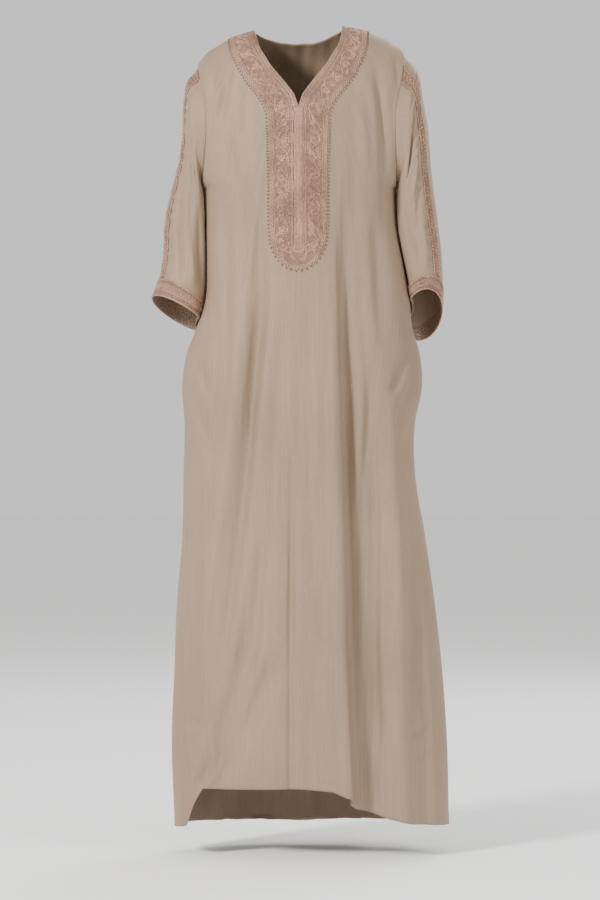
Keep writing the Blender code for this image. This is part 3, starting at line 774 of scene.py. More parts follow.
def bands(tree, source, pitch, direction="X", distortion=0.0):
    # stripes a pitch apart; the wave node's own period is pi over 10
    node = addNode(tree, "ShaderNodeTexWave", Scale=math.pi / 10 / pitch, Distortion=distortion)
    node.bands_direction = direction
    tree.links.new(source, node.inputs["Vector"])
    return node.outputs["Fac"]


def maths(tree, operation, one, two):
    node = tree.nodes.new("ShaderNodeMath")
    node.operation = operation
    for socket, value in zip(node.inputs, (one, two)):
        if isinstance(value, (int, float)):
            socket.default_value = value
        else:
            tree.links.new(value, socket)
    return node.outputs[0]


def weighed(tree, *signals):
    # the sum of several signals, each times its share
    total = None
    for source, share in signals:
        part = maths(tree, "MULTIPLY", source, share)
        total = part if total is None else maths(tree, "ADD", total, part)
    return total


def rampOf(tree, source, stops):
    node = tree.nodes.new("ShaderNodeValToRGB")
    ramp = node.color_ramp
    while len(ramp.elements) < len(stops):
        ramp.elements.new(0.5)
    for element, (place, colour) in zip(ramp.elements, stops):
        element.position = place
        element.color = (*colour, 1.0)
    tree.links.new(source, node.inputs["Fac"])
    return node.outputs["Color"]


def bumpOn(tree, height, distance, before=None):
    node = addNode(tree, "ShaderNodeBump", Strength=1.0, Distance=distance)
    tree.links.new(height, node.inputs["Height"])
    if before is not None:
        tree.links.new(before, node.inputs["Normal"])
    return node.outputs["Normal"]


def clothMaterial(plan, name="taupeCloth", workedHem=0.0):
    paint, tree, shader = newFinish(name, plan)
    laid = addNode(tree, "ShaderNodeUVMap", uv_map="cloth").outputs["UV"]
    room = tree.nodes.new("ShaderNodeTexCoord").outputs["Object"]
    slub = noise(tree, scaled(tree, laid, (1500.0, 70.0, 1.0)), 1.0, 3.0, 0.6)
    cross = noise(tree, scaled(tree, laid, (90.0, 1300.0, 1.0)), 1.0, 2.0, 0.6)
    shade = noise(tree, room, 3.2, 3.0, 0.55)
    streak = noise(tree, scaled(tree, laid, (280.0, 8.0, 1.0)), 1.0, 2.0, 0.6)
    tone = weighed(tree, (slub, 0.3), (streak, 0.24), (cross, 0.19), (shade, 0.35))
    colour = rampOf(tree, tone, [(0.44, plan["dark"]), (0.78, plan["light"])])
    if workedHem:
        # the work's reverse shows on the inside of the cloth, from the hem up
        counted = addNode(tree, "ShaderNodeUVMap", uv_map="grid").outputs["UV"]
        split = tree.nodes.new("ShaderNodeSeparateXYZ")
        tree.links.new(counted, split.inputs["Vector"])
        low = maths(tree, "GREATER_THAN", split.outputs["Y"], workedHem)
        knots = noise(tree, scaled(tree, laid, (330.0, 330.0, 1.0)), 1.0, 3.0, 0.65)
        reverse = rampOf(tree, knots, [(0.4, plan["reverseDark"]), (0.62, plan["reverseLight"])])
        mixed = tree.nodes.new("ShaderNodeMix")
        mixed.data_type = "RGBA"
        tree.links.new(low, mixed.inputs["Factor"])
        tree.links.new(colour, mixed.inputs[6])
        tree.links.new(reverse, mixed.inputs[7])
        colour = mixed.outputs[2]
    tree.links.new(colour, shader.inputs["Base Color"])
    warp = bands(tree, laid, plan["threadPitch"], "X")
    weft = bands(tree, laid, plan["threadPitch"], "Y")
    weave = maths(tree, "MULTIPLY", warp, weft)
    crumple = noise(tree, scaled(tree, room, (13.0, 13.0, 7.0)), 1.0, 4.0, 0.5)
    normal = bumpOn(tree, crumple, plan["crumpleHeight"])
    normal = bumpOn(tree, slub, plan["slubHeight"], normal)
    normal = bumpOn(tree, weave, plan["threadHeight"], normal)
    tree.links.new(normal, shader.inputs["Normal"])
    rough = maths(tree, "ADD", maths(tree, "MULTIPLY", shade, 0.16), plan["rough"] - 0.08)
    tree.links.new(rough, shader.inputs["Roughness"])
    return paint


def workMaterial(plan):
    # the filled ground of the worked bands: short satin stitches in patches that turn; its colour has
    # painted shade in the grooves between stitches and at each patch's edge, and painted highlight on
    # the stitches' tops
    paint, tree, shader = newFinish("workedGround", plan)
    laid = addNode(tree, "ShaderNodeUVMap", uv_map="cloth").outputs["UV"]
    patches = tree.nodes.new("ShaderNodeTexVoronoi")
    patches.inputs["Scale"].default_value = plan["patch"]
    tree.links.new(laid, patches.inputs["Vector"])
    leaning = bands(tree, scaled(tree, laid, (1, 1, 1), 0.8), plan["stitchPitch"], "X", 1.2)
    upright = bands(tree, scaled(tree, laid, (1, 1, 1), -0.6), plan["stitchPitch"], "X", 1.2)
    pick = maths(tree, "GREATER_THAN", patches.outputs["Color"], 0.5)
    both = tree.nodes.new("ShaderNodeMix")
    tree.links.new(pick, both.inputs["Factor"])
    tree.links.new(leaning, both.inputs["A"])
    tree.links.new(upright, both.inputs["B"])
    stitch = both.outputs["Result"]
    spread = noise(tree, scaled(tree, laid, (420.0, 420.0, 1.0)), 1.0, 3.0, 0.6)
    # painted shade and highlight: the colour is lighter on the stitch ridges, darker in their grooves
    # and towards each patch's edge; the mottling is partly the thread's own uneven tone and partly
    # painted shade between threads
    tone = weighed(tree, (stitch, 0.3), (spread, 0.62), (patches.outputs["Distance"], -0.225))
    colour = rampOf(tree, tone, [(0.1, plan["dark"]), (0.52, plan["light"])])
    tree.links.new(colour, shader.inputs["Base Color"])
    normal = bumpOn(tree, stitch, plan["stitchHeight"])
    normal = bumpOn(tree, spread, plan["stitchHeight"] * 2.0, normal)
    tree.links.new(normal, shader.inputs["Normal"])
    return paint


def threadMaterial(plan, name, brightness=1.0):
    paint, tree, shader = newFinish(name, plan)
    room = tree.nodes.new("ShaderNodeTexCoord").outputs["Object"]
    twist = bands(tree, scaled(tree, room, (1.0, 1.0, 1.0), 0.7), plan["twistPitch"], "DIAGONAL", 1.5)
    spread = noise(tree, room, 330.0, 2.0, 0.6)
    broad = noise(tree, room, 22.0, 2.0, 0.5)
    # the colour follows the twist, darker in its grooves and lighter on its crests: painted shade and
    # painted highlight; the two noises are the thread's own uneven tone
    tone = weighed(tree, (spread, 0.5), (broad, 0.5), (twist, 0.22))
    light = tuple(value * brightness for value in plan["light"])
    dark = tuple(value * brightness for value in plan["dark"])
    tree.links.new(rampOf(tree, tone, [(0.44, dark), (0.66, light)]), shader.inputs["Base Color"])
    tree.links.new(bumpOn(tree, twist, plan["twistHeight"]), shader.inputs["Normal"])
    return paint


taupeCloth = clothMaterial(clothFinish)
sleeveTaupe = clothMaterial(clothFinish, "sleeveTaupe", clothFinish["reverseFrom"])
workedGround = workMaterial(workFinish)
workedThread = threadMaterial(threadFinish, "workedThread")
braidThread = threadMaterial(threadFinish, "braidThread", 0.94)
fillThread = threadMaterial(threadFinish, "fillThread", 0.72)
sewingThread = threadMaterial(threadFinish, "sewingThread", 0.86)
# a thread darkened to a third, for the border's teeth and the sleeves' dots and dashes: its darkness is
# partly the work's own dark thread and partly painted shade between the loops
shadowThread = threadMaterial(threadFinish, "shadowThread", 0.34)
print("finishes ready")

makeCloth(taupeCloth, sleeveTaupe)
print("cloth panels and sleeves made")

# worked bands: a thin ground cloth, and cords, stitches and knots of thread that lie on it


def heightOf(x, length):
    # height of a place on the front, from the cloth's length below the shoulder line
    return shoulderHeight(x) - roundedDrop(length)


def flatRows(rows, side):
    # a band's two edges as flat places, each against the length of the band's middle
    centre = robe["centreX"]
    flat = []
    for row in rows:
        spots = []
        for away, z in (row[0:2], row[2:4]):
            x = centre + side * away
            spots += [x, float(roundedLength(max(float(shoulderHeight(x)) - z, 0.0)))]
        flat.append(spots)
    flat = np.array(flat)
    flat[0, 1] = flat[0, 3] = 0.0012
    middle = (flat[:, 0:2] + flat[:, 2:4]) / 2
    steps = np.linalg.norm(np.diff(middle, axis=0), axis=1)
    return np.column_stack((np.concatenate(([0.0], np.cumsum(steps))), flat))


def onFront(x, length, lift):
    z = heightOf(x, length)
    return onPanel(shareAt(x, z), z, True, lift)


def bandEdges(rows, along):
    return (smoothValue(rows, column, along) for column in range(1, 5))


def onBand(rows, along, share, lift=0.0):
    # share runs from 0 at a band's inner edge to 1 at its outer edge
    innerX, innerD, outerX, outerD = bandEdges(rows, along)
    return onFront(innerX + (outerX - innerX) * share, innerD + (outerD - innerD) * share, lift)


def bandWidth(rows, along):
    innerX, innerD, outerX, outerD = bandEdges(rows, along)
    return np.hypot(outerX - innerX, outerD - innerD)


def joined(name, pieces):
    # several sheets as one mesh, welded where their edges meet
    whole = bmesh.new()
    for piece in pieces:
        whole.from_mesh(piece.data)
        bpy.data.objects.remove(piece)
    bmesh.ops.remove_doubles(whole, verts=whole.verts, dist=0.00005)
    mesh = bpy.data.meshes.new(name)
    whole.to_mesh(mesh)
    whole.free()
    return asObject(name, mesh)


def cordPiece(name, lines, radius, sides=1):
    # round cords through lists of points, joined in one mesh
    data = bpy.data.curves.new(name, "CURVE")
    data.dimensions = "3D"
    data.bevel_depth = radius
    data.bevel_resolution = sides
    data.use_fill_caps = True
    for line in lines:
        spline = data.splines.new("POLY")
        spline.points.add(len(line) - 1)
        spline.points.foreach_set("co", np.column_stack((line, np.ones(len(line)))).ravel())
    holder = bpy.data.objects.new(name + "Line", data)
    mesh = bpy.data.meshes.new_from_object(holder)
    bpy.data.objects.remove(holder)
    mesh.name = name
    mesh.materials.clear()
    return asObject(name, mesh)


def seedShape():
    # one small round bead, a unit across, as points and faces
    seed = bmesh.new()
    bmesh.ops.create_icosphere(seed, subdivisions=1, radius=0.5)
    spots = np.array([vert.co[:] for vert in seed.verts])
    faces = np.array([[vert.index for vert in face.verts] for face in seed.faces])
    seed.free()
    return spots, faces


def beadSizes(length, width, height):
    # one row of length, width and height for each bead
    return np.column_stack(np.broadcast_arrays(length, width, height))


def manyPiece(name, parts):
    # the bead set at many places, each with its own length, width and height, as one mesh
    points, normals, alongs, sizes = (np.concatenate(group) for group in zip(*parts))
    spots, faces = seedShape()
    alongs = alongs - normals * np.sum(alongs * normals, axis=1)[:, None]
    alongs = alongs / np.linalg.norm(alongs, axis=1)[:, None]
    asides = np.cross(normals, alongs)
    placed = points[:, None, :]
    for column, way in enumerate((alongs, asides, normals)):
        placed = placed + spots[None, :, column, None] * sizes[:, None, column, None] * way[:, None, :]
    shifts = np.arange(len(points))[:, None, None] * len(spots)
    mesh = bpy.data.meshes.new(name)
    mesh.from_pydata(placed.reshape(-1, 3).tolist(), [], (faces[None] + shifts).reshape(-1, 3).tolist())
    return asObject(name, mesh)


# motifs are flat lines in millimetres: along the band, and across it from its middle
def arcLine(centre, radius, start, end, flatness=1.0, steps=18):
    turn = np.radians(np.linspace(start, end, steps + 1))
    return np.column_stack((centre[0] + radius * np.cos(turn),
                            centre[1] + radius * flatness * np.sin(turn)))


def spiralLine(centre, outer, inner, start, turns, steps=44):
    s = np.linspace(0.0, 1.0, steps + 1)
    turn = math.radians(start) + 2 * math.pi * turns * s
    radius = outer + (inner - outer) * s ** 0.85
    return np.column_stack((centre[0] + radius * np.cos(turn), centre[1] + radius * np.sin(turn)))


def leafLine(root, length, width, angle, curl=0.25, steps=22):
    # a teardrop that starts and ends at its root
    s = np.linspace(0.0, 1.0, steps + 1)
    along = length * np.sin(math.pi * s) ** 0.8
    across = width * np.sin(2 * math.pi * s) * 0.5 + curl * length * (along / length) ** 2 * 0.5
    turn = math.radians(angle)
    return np.column_stack((root[0] + along * math.cos(turn) - across * math.sin(turn),
                            root[1] + along * math.sin(turn) + across * math.cos(turn)))


def flipped(lines, flip):
    return [line * np.array((1.0, flip)) for line in lines]


def scrollMotif(flip):
    # a vine that swells round a coil, with a leaf and three short arcs in the bend it leaves
    lines = [
        spiralLine((0.0, 2.5), 8.2, 1.6, -90, 1.75),
        spiralLine((0.0, 2.5), 6.4, 2.6, -90, 0.9),
        leafLine((-13.0, -1.5), 10.5, 6.4, 118, 0.3),
        leafLine((-13.0, -0.5), 6.6, 3.2, 116, 0.3),
        leafLine((12.5, -8.5), 9.0, 5.6, 28, -0.3),
    ]
    lines += [arcLine((13.5, 6.5), radius, 170, 20) for radius in (6.4, 4.5, 2.6)]
    lines += [arcLine((-4.0, -11.6), radius, 20, 160, 0.8) for radius in (4.4, 2.6)]
    return flipped(lines, flip)


def rosetteMotif(flip):
    # a five-petalled flower between two leaning leaves
    lines = [arcLine((0.0, 0.0), 2.1, 0, 360, steps=12)]
    for petal in range(5):
        lines.append(leafLine((0.0, 0.0), 7.8, 5.6, 90 + petal * 72, 0.0))
    lines += [
        leafLine((-9.0, -10.5), 11.0, 5.2, 62, -0.35), leafLine((-9.0, -10.0), 7.0, 2.8, 62, -0.35),
        leafLine((9.0, -10.5), 11.0, 5.2, 118, 0.35), leafLine((9.0, -10.0), 7.0, 2.8, 118, 0.35),
    ]
    lines += [arcLine((0.0, 12.8), radius, 200, 340, 0.75) for radius in (6.0, 4.0)]
    return flipped(lines, flip)


def fanMotif(flip):
    # arcs one inside the other, as on the lobes beside the border
    lines = [arcLine((0.0, -13.5), radius, 12, 168) for radius in (15.5, 13.4, 11.2, 9.2)]
    for turn in range(35, 160, 22):
        spot = np.radians(turn)
        lines.append(np.array(((6.2 * math.cos(spot), -13.5 + 6.2 * math.sin(spot)),
                               (8.4 * math.cos(spot), -13.5 + 8.4 * math.sin(spot)))))
    lines += [
        leafLine((-12.5, 12.0), 9.5, 4.8, 330, 0.35), leafLine((12.5, 12.0), 9.5, 4.8, 210, -0.35),
        spiralLine((0.0, 7.6), 4.6, 1.0, 90, 1.4, steps=26),
    ]
    return flipped(lines, flip)


chestWork = dict(
    ground=(20, 230), reach=0.88, thickness=0.0005, lift=0.0009,
    order=[scrollMotif, fanMotif, rosetteMotif, scrollMotif, fanMotif, scrollMotif, rosetteMotif])


def halfGround(name, rows, side, size, lift, reach=1.0):
    def place(u, v):
        share = (1 - u if side < 0 else u) * reach
        return onBand(rows, v * rows[-1, 0], share, lift)[0]
    return gridSheet(name, size[0], size[1], place)


def bothHalves(name, table, size, plan):
    halves = []
    for _, side in sides:
        rows = flatRows(table, side)
        halves.append(halfGround(name + "Half", rows, side, size, plan["lift"], plan.get("reach", 1.0)))
    return joined(name, halves)


def makeChestGround(material):
    piece = bothHalves("chestWork", chestBand["rows"], chestWork["ground"], chestWork)
    finishSheet(piece, chestWork, material, "embroidery", "chest_embroidery")


neckBraid = dict(
    # neck edge away, its height, outer away, its height, from the shoulder down to the slit's foot
    rows=np.array([
        (83.3, 0, 90.8, 0), (72.3, -42.2, 79.3, -45.4),
        (51.3, -79.2, 57.3, -83.8), (21.3, -117.2, 27.4, -122.2),
        (8.3, -134.4, 16.3, -136.8), (0.6, -155.6, 10, -159),
    ]) / 1000,
    size=(4, 150), backSize=(110, 4), backEdge=0.0006, backWidth=0.006, thickness=0.0005, lift=0.0009)

centreColumn = dict(size=(8, 110), half=0.0084, top=-0.16, low=-0.4205, thickness=0.0005, lift=0.0009)


def backNeckLine(steps):
    # the back neck edge as flat places, and the way into the cloth from it
    share = np.linspace(-1, 1, steps) * robe["neckShare"] * 0.999
    z = neckHeight(share, False)
    x = placeAcross(share, z)
    length = roundedLength(np.maximum(shoulderHeight(x) - z, 0.0))
    line = np.column_stack((x, length))
    along = np.gradient(line, axis=0)
    inward = np.column_stack((-along[:, 1], along[:, 0]))
    return line, inward / np.linalg.norm(inward, axis=1)[:, None]


def onBackNeck(u, offset, lift):
    line, inward = backNeckLine(161)
    count = np.arange(161)
    place = np.clip(u, 0.0, 1.0) * 160
    x, length = (np.interp(place, count, line[:, i]) + offset * np.interp(place, count, inward[:, i])
                 for i in (0, 1))
    z = heightOf(x, np.maximum(length, 0.0012))
    return onPanel(shareAt(x, z), z, False, lift)


def makeNeckGround(material):
    def backPlace(u, v):
        offset = neckBraid["backEdge"] + neckBraid["backWidth"] * v
        return onBackNeck(1 - u, offset, neckBraid["lift"])[0]

    front = bothHalves("neckBraid_front", neckBraid["rows"], neckBraid["size"], neckBraid)
    back = gridSheet("neckBraid_back", *neckBraid["backSize"], backPlace)
    finishSheet(front, neckBraid, material, "braid", "neck_braid_front")
    finishSheet(back, neckBraid, material, "braid", "neck_braid_back")


def makeCentreGround(material):
    def place(u, v):
        x = robe["centreX"] + (u - 0.5) * 2 * centreColumn["half"]
        z = centreColumn["top"] + (centreColumn["low"] - centreColumn["top"]) * v
        return onPanel(shareAt(x, z), z, True, centreColumn["lift"])[0]

    piece = gridSheet("centreColumn", *centreColumn["size"], place)
    finishSheet(piece, centreColumn, material, "braid", "centre_braid")


makeChestGround(workedGround)
makeNeckGround(braidThread)
makeCentreGround(braidThread)
print("chest, neck and centre grounds made")

# pocket bags, and the bands on the sleeves

bags = dict(
    shares=np.array([
        (0.0, 0.9901), (0.2, 0.9606), (0.4, 0.9121), (0.6, 0.8456), (0.8, 0.7623), (1.0, 0.6639)]),
    top=-0.5708, mouthLow=-0.7328, low=-0.8, clear=0.0052, depth=0.012, size=(40, 64), thickness=0.0004)


def bagPlace(side):
    def place(u, v):
        turn = 2 * v
        deep = np.where(turn < 1, turn, 2 - turn)
        share = side * smoothValue(bags["shares"], 1, deep)
        low = bags["mouthLow"] + (bags["low"] - bags["mouthLow"]) * ease(deep, 0.0, 0.5)
        z = bags["top"] + (low - bags["top"]) * u
        clear = 0.0013 + (bags["clear"] - 0.0013) * ease(deep, 0.0, 0.2)
        outer, facing = onPanel(share, z, True)
        outer = outer - facing * clear[:, None]
        behind = outer - facing * (bags["depth"] * np.sqrt(np.maximum(1 - deep ** 4, 0.0)))[:, None]
        back, backFacing = onPanel(share, z, False)
        back = back - backFacing * 0.0014
        inner = back + (behind - back) * ease(deep, 0.0, 0.22)[:, None]
        close = np.sqrt(np.clip(np.sin(math.pi * u), 0.0, 1.0))
        inner = outer + (inner - outer) * close[:, None]
        return np.where((turn < 1)[:, None], outer, inner)
    return place


def makeBags(material):
    for word, side in sides:
        piece = gridSheet("pocketBag_" + word, *bags["size"], bagPlace(side), merged=True)
        shape = bmesh.new()
        shape.from_mesh(piece.data)
        bmesh.ops.recalc_face_normals(shape, faces=shape.faces)
        shape.to_mesh(piece.data)
        shape.free()
        finishSheet(piece, bags, material, "cloth", "pocket_bag_" + word)


sleeveWork = dict(
    ringTop=0.15, thickness=0.0005, lift=0.0009, bandSize=(8, 200), cuffSize=(150, 14),
    cuffDeep=0.035, bandWide=0.0262)


def armAngle(side, share):
    first, last = sleeves["bandLeft" if side < 0 else "bandRight"]
    return first + (last - first) * share


def bandPlace(side):
    def place(u, v):
        share = u if side < 0 else 1 - u
        ring = sleeveWork["ringTop"] + (10.97 - sleeveWork["ringTop"]) * v
        return onSleeve(side, ring, armAngle(side, share), sleeveWork["lift"])[0]
    return place


def cuffPlace(side):
    def place(u, v):
        return onSleeve(side, 11.0 + v, -2 * math.pi * side * u, sleeveWork["lift"])[0]
    return place


def makeSleeveGrounds(material):
    for word, side in sides:
        band = gridSheet("sleeveBand_" + word, *sleeveWork["bandSize"], bandPlace(side))
        finishSheet(band, sleeveWork, material, "embroidery", "sleeve_band_" + word)
        cuff = gridSheet("cuffBand_" + word, *sleeveWork["cuffSize"], cuffPlace(side), merged=True)
        finishSheet(cuff, sleeveWork, material, "embroidery", "cuff_band_" + word)


makeBags(taupeCloth)
makeSleeveGrounds(workedGround)
print("pocket bags and sleeve grounds made")

# cords, knots and stitches on the chest

chestCords = dict(
    border=0.00075, picot=0.00062, motif=0.00072, stem=0.0006, step=0.0022,
    borderShares=(0.03, 0.08, 0.715, 0.765), picotShare=0.828, picotReach=0.0017, picotPitch=0.0124,
    toothPitch=0.0066, toothShare=0.956, dotShare=0.902,
    fieldMiddle=0.41, fieldLow=0.115, fieldHigh=0.68, motifStep=0.032, motifScale=0.95)


def onBandLine(rows, along, share, lift):
    return onBand(rows, np.clip(along, 0.0, rows[-1, 0]), share, lift)[0]


def borderLines(rows):
    plan = chestCords
    top = chestWork["lift"]
    length = rows[-1, 0]
    along = np.linspace(0.001, length, int(length / plan["step"]))
    lines = []
    for share in plan["borderShares"]:
        sway = 0.004 * np.sin(along * 61 + share * 40) + 0.003 * np.sin(along * 140 + share * 9)
        lines.append(onBandLine(rows, along, share + sway, top + plan["border"] * 0.55))
    return lines


def picotLines(rows):
    # two cords that cross and open in turn, as a chain of small loops
    plan = chestCords
    length = rows[-1, 0]
    along = np.linspace(0.001, length - 0.0005, int(length / 0.00115))
    turn = math.pi * along / (plan["picotPitch"] / 2)
    reach = plan["picotReach"] / bandWidth(rows, along)
    lines = []
    for way in (-1, 1):
        swing = way * reach * np.sin(turn)
        lift = chestWork["lift"] + plan["picot"] * (0.7 + 0.5 * way * np.cos(turn))
        lines.append(onBandLine(rows, along, plan["picotShare"] + swing, lift))
    return lines


def motifLines(rows, side):
    plan = chestCords
    length = rows[-1, 0]
    lines = []
    stems = []
    count = int((length - 0.03) / plan["motifStep"])
    for i in range(count):
        middle = 0.018 + (length - 0.044) * (i + 0.5) / count
        make = chestWork["order"][(i + (2 if side > 0 else 0)) % len(chestWork["order"])]
        flip = 1 if (i + (side > 0)) % 2 == 0 else -1
        for motif in make(flip):
            size = plan["motifScale"] * (0.97 + 0.05 * math.sin(i * 2.3 + side))
            along = middle + motif[:, 0] * size / 1000
            wide = bandWidth(rows, np.clip(along, 0.0, length))
            share = plan["fieldMiddle"] + motif[:, 1] * size / 1000 / wide
            share = np.clip(share, plan["fieldLow"], plan["fieldHigh"])
            lines.append(onBandLine(rows, along, share, chestWork["lift"] + plan["motif"] * 0.5))
    along = np.linspace(0.006, length - 0.004, 220)
    for shift in (0.0, 1.35):
        wave = np.sin(math.pi * (along - 0.018) / plan["motifStep"] + shift)
        wave = wave * np.minimum(1.0, (length - along) / 0.03)
        share = plan["fieldMiddle"] + (0.2 + 0.05 * shift) * wave
        stems.append(onBandLine(rows, along, share, chestWork["lift"] + plan["stem"] * 0.2))
    return lines + stems


def chestKnots(rows, side):
    # dots on the loops of the border, and rows of them beside the cords
    plan = chestCords
    length = rows[-1, 0]
    half = plan["picotPitch"] / 2
    top = chestWork["lift"]
    spots = []
    for shareWay, start, wide in ((0.0, 0.0, 0.0021), (1.0, 0.5, 0.0023), (-1.0, 0.5, 0.0021)):
        along = np.arange(start * half + 0.001, length - 0.001, half)
        share = plan["picotShare"] + shareWay * (plan["picotReach"] + 0.0002) / bandWidth(rows, along)
        spots.append((along, share, np.full_like(along, wide), top + 0.0008))
    along = np.arange(0.003, length - 0.001, plan["toothPitch"])
    spots.append((along, plan["dotShare"] + 0 * along, np.full_like(along, 0.0024), 0.0012))
    along = np.arange(0.004, length - 0.003, 0.0043)
    share = 0.668 + 0.006 * np.sin(along * 900 + side)
    spots.append((along, share, 0.0015 + 0.0003 * np.sin(along * 777), top + 0.0004))
    along = np.arange(0.006, length - 0.004, 0.0051)
    share = 0.135 + 0.006 * np.sin(along * 800)
    spots.append((along, share, 0.0014 + 0.0003 * np.sin(along * 555), top + 0.0004))
    return spots


def outerTeeth(rows):
    # short bound loops that stand out from the border, a small gap of cloth between them; their dark
    # thread is partly painted shade between the loops
    plan = chestCords
    along = np.arange(0.003 + plan["toothPitch"] / 2, rows[-1, 0] - 0.001, plan["toothPitch"])
    share = plan["toothShare"] + 0.004 * np.sin(along * 831)
    points, normals = onBand(rows, along, share, 0.0007)
    ahead = onBand(rows, along, share + 0.02, 0.0007)[0] - points
    return points, normals, ahead, beadSizes(0.0044 + 0.0004 * np.sin(along * 977), 0.0025, 0.0018)


def fillStitches(rows, side):
    # short satin stitches over the field, turned a little from one to the next
    length = rows[-1, 0]
    pitch = 0.0024
    along = []
    across = []
    for i, place in enumerate(np.arange(0.003, length - 0.003, pitch)):
        wide = float(bandWidth(rows, np.array([place]))[0])
        count = int(wide * 0.57 / pitch)
        shares = 0.11 + 0.57 * (np.arange(count) + 0.5 * (i % 2) + 0.25) / count
        along.append(place + 0.0006 * np.sin(17 * i + 5.1 * np.arange(count) + side))
        across.append(shares)
    along = np.concatenate(along)
    across = np.concatenate(across)
    lean = 0.9 * np.sin(along * 210 + across * 9) + 0.6 * np.sin(along * 517 - across * 23)
    lift = chestWork["lift"]
    points, normals = onBand(rows, along, across, lift + 0.00005)
    ahead = onBand(rows, along + 0.0005 * np.cos(lean), across + 0.012 * np.sin(lean), lift)[0] - points
    return points, normals, ahead, beadSizes(0.0027 + 0.0004 * np.sin(along * 330), 0.0012, 0.0009)


def chestBeads(rows, side):
    made = []
    for along, share, wide, lift in chestKnots(rows, side):
        points, normals = onBand(rows, along, share, lift)
        ahead = onBand(rows, along + 0.0005, share, lift)[0] - points
        made.append((points, normals, ahead, beadSizes(wide, wide, wide * 0.7)))
    return made


def makeChestCords(material, darkMaterial, shadowMaterial):
    lines, motifs, beads, teeth, stitches = [], [], [], [], []
    for _, side in sides:
        rows = flatRows(chestBand["rows"], side)
        lines += borderLines(rows) + picotLines(rows)
        motifs += motifLines(rows, side)
        beads += chestBeads(rows, side)
        teeth.append(outerTeeth(rows))
        stitches.append(fillStitches(rows, side))
    made = [
        (cordPiece("chestBorderCords", lines, chestCords["border"]), material),
        (cordPiece("chestMotifCords", motifs, chestCords["motif"]), material),
        (manyPiece("chestKnots", beads), material),
        (manyPiece("chestStitches", stitches), darkMaterial),
        (manyPiece("chestTeeth", teeth), shadowMaterial),
    ]
    for piece, paint in made:
        dress(piece, paint, "embroidery")


makeChestCords(workedThread, fillThread, shadowThread)
print("chest cords, knots and stitches made")

# cords of the neck braid and of the centre column


def twistLines(spot, along, across, lift, radius, pitch):
    # a two-ply cord: two fine strands round one line
    lines = []
    for start in (0.0, math.pi):
        turn = 2 * math.pi * along / pitch + start
        above = lift + radius * (0.9 + 0.75 * np.sin(turn))
        lines.append(spot(along, across + radius * 0.75 * np.cos(turn), above))
    return lines


neckCords = dict(
    offsets=(0.0008, 0.0024, 0.004, 0.0056), strand=0.0005, ply=0.00065, pitch=0.0042, step=0.0012,
    backLength=0.2)


def makeNeckCords(material):
    plan = neckCords
    braid = neckBraid["lift"], plan["ply"], plan["pitch"]
    lines = []
    for _, side in sides:
        rows = flatRows(neckBraid["rows"], side)
        along = np.arange(0.0005, rows[-1, 0], plan["step"])

        def spot(alongAt, offset, lift, rows=rows):
            return onBand(rows, alongAt, offset / bandWidth(rows, alongAt), lift)[0]

        for offset in plan["offsets"]:
            lines += twistLines(spot, along, offset, *braid)
    front = cordPiece("neckCords_front", lines, plan["strand"], 0)

    def backSpot(alongAt, offset, lift):
        return onBackNeck(alongAt / plan["backLength"], offset, lift)[0]

    along = np.arange(0.0005, plan["backLength"] - 0.0005, plan["step"])
    lines = []
    for offset in plan["offsets"][:3]:
        lines += twistLines(backSpot, along, offset + neckBraid["backEdge"], *braid)
    back = cordPiece("neckCords_back", lines, plan["strand"], 0)
    for piece in (front, back):
        dress(piece, material, "braid")


centreCords = dict(
    places=(-0.007, -0.0048, -0.0016, 0.0016, 0.0048, 0.007),
    radius=0.00078, step=0.003, ladderEdge=0.0092,
    # top and foot of each ladder block beside the column, and how far it reaches to the side
    ladders=[(-0.166, -0.184, 0.0135), (-0.207, -0.226, 0.015), (-0.252, -0.269, 0.013),
             (-0.296, -0.316, 0.015), (-0.342, -0.358, 0.013)])


def makeCentreCords(material):
    plan = centreCords
    centre = robe["centreX"]
    low = centreColumn["low"] + 0.001
    top = centreColumn["lift"] + plan["radius"] * 0.5

    def spot(x, z, lift=top):
        return onPanel(shareAt(x, z), z, True, lift)[0]

    z = np.arange(centreColumn["top"] - 0.001, low, -plan["step"])
    lines = [spot(centre + place + 0.00025 * np.sin(z * 70 + place * 900), z)
             for place in plan["places"]]
    # the cords turn round the foot in two loops
    for reach in plan["places"][-2:]:
        turn = np.radians(np.linspace(180, 360, 15))
        lines.append(spot(centre + reach * np.cos(turn), low + 0.8 * reach * np.sin(turn)))
    inner = centre - plan["ladderEdge"]
    for high, foot, reach in plan["ladders"]:
        for shift in (0.0, 0.0042, 0.0084, reach - 0.0016):
            rungs = np.linspace(high, foot, 9)
            lines.append(spot(np.full_like(rungs, inner - shift), rungs, top + 0.0007))
        for height in np.arange(high, foot - 0.0005, -0.0028):
            across = np.linspace(inner, inner - reach, 7)
            lines.append(spot(across, np.full_like(across, height), top + 0.0007))
    dress(cordPiece("centreCords", lines, plan["radius"]), material, "braid")


makeNeckCords(braidThread)
makeCentreCords(braidThread)
print("neck and centre cords made")

# cords, loops and dots on the sleeves

sleeveCords = dict(edge=0.00055, loop=0.0006, dash=0.0007, step=0.0022)


def lineLengths(spots):
    return np.concatenate(([0.0], np.cumsum(np.linalg.norm(np.diff(spots, axis=0), axis=1))))


angleSteps = np.linspace(0.0, 2 * math.pi, 721)
ringSteps = np.linspace(sleeveWork["ringTop"], 10.97, 500)
aroundRuns = {}
downRuns = {}
for _, side in sides:
    level = np.full_like(angleSteps, 11.5)
    aroundRuns[side] = lineLengths(onSleeve(side, level, angleSteps)[0])
    middle = np.full_like(ringSteps, armAngle(side, 0.5))
    downRuns[side] = lineLengths(onSleeve(side, ringSteps, middle)[0])


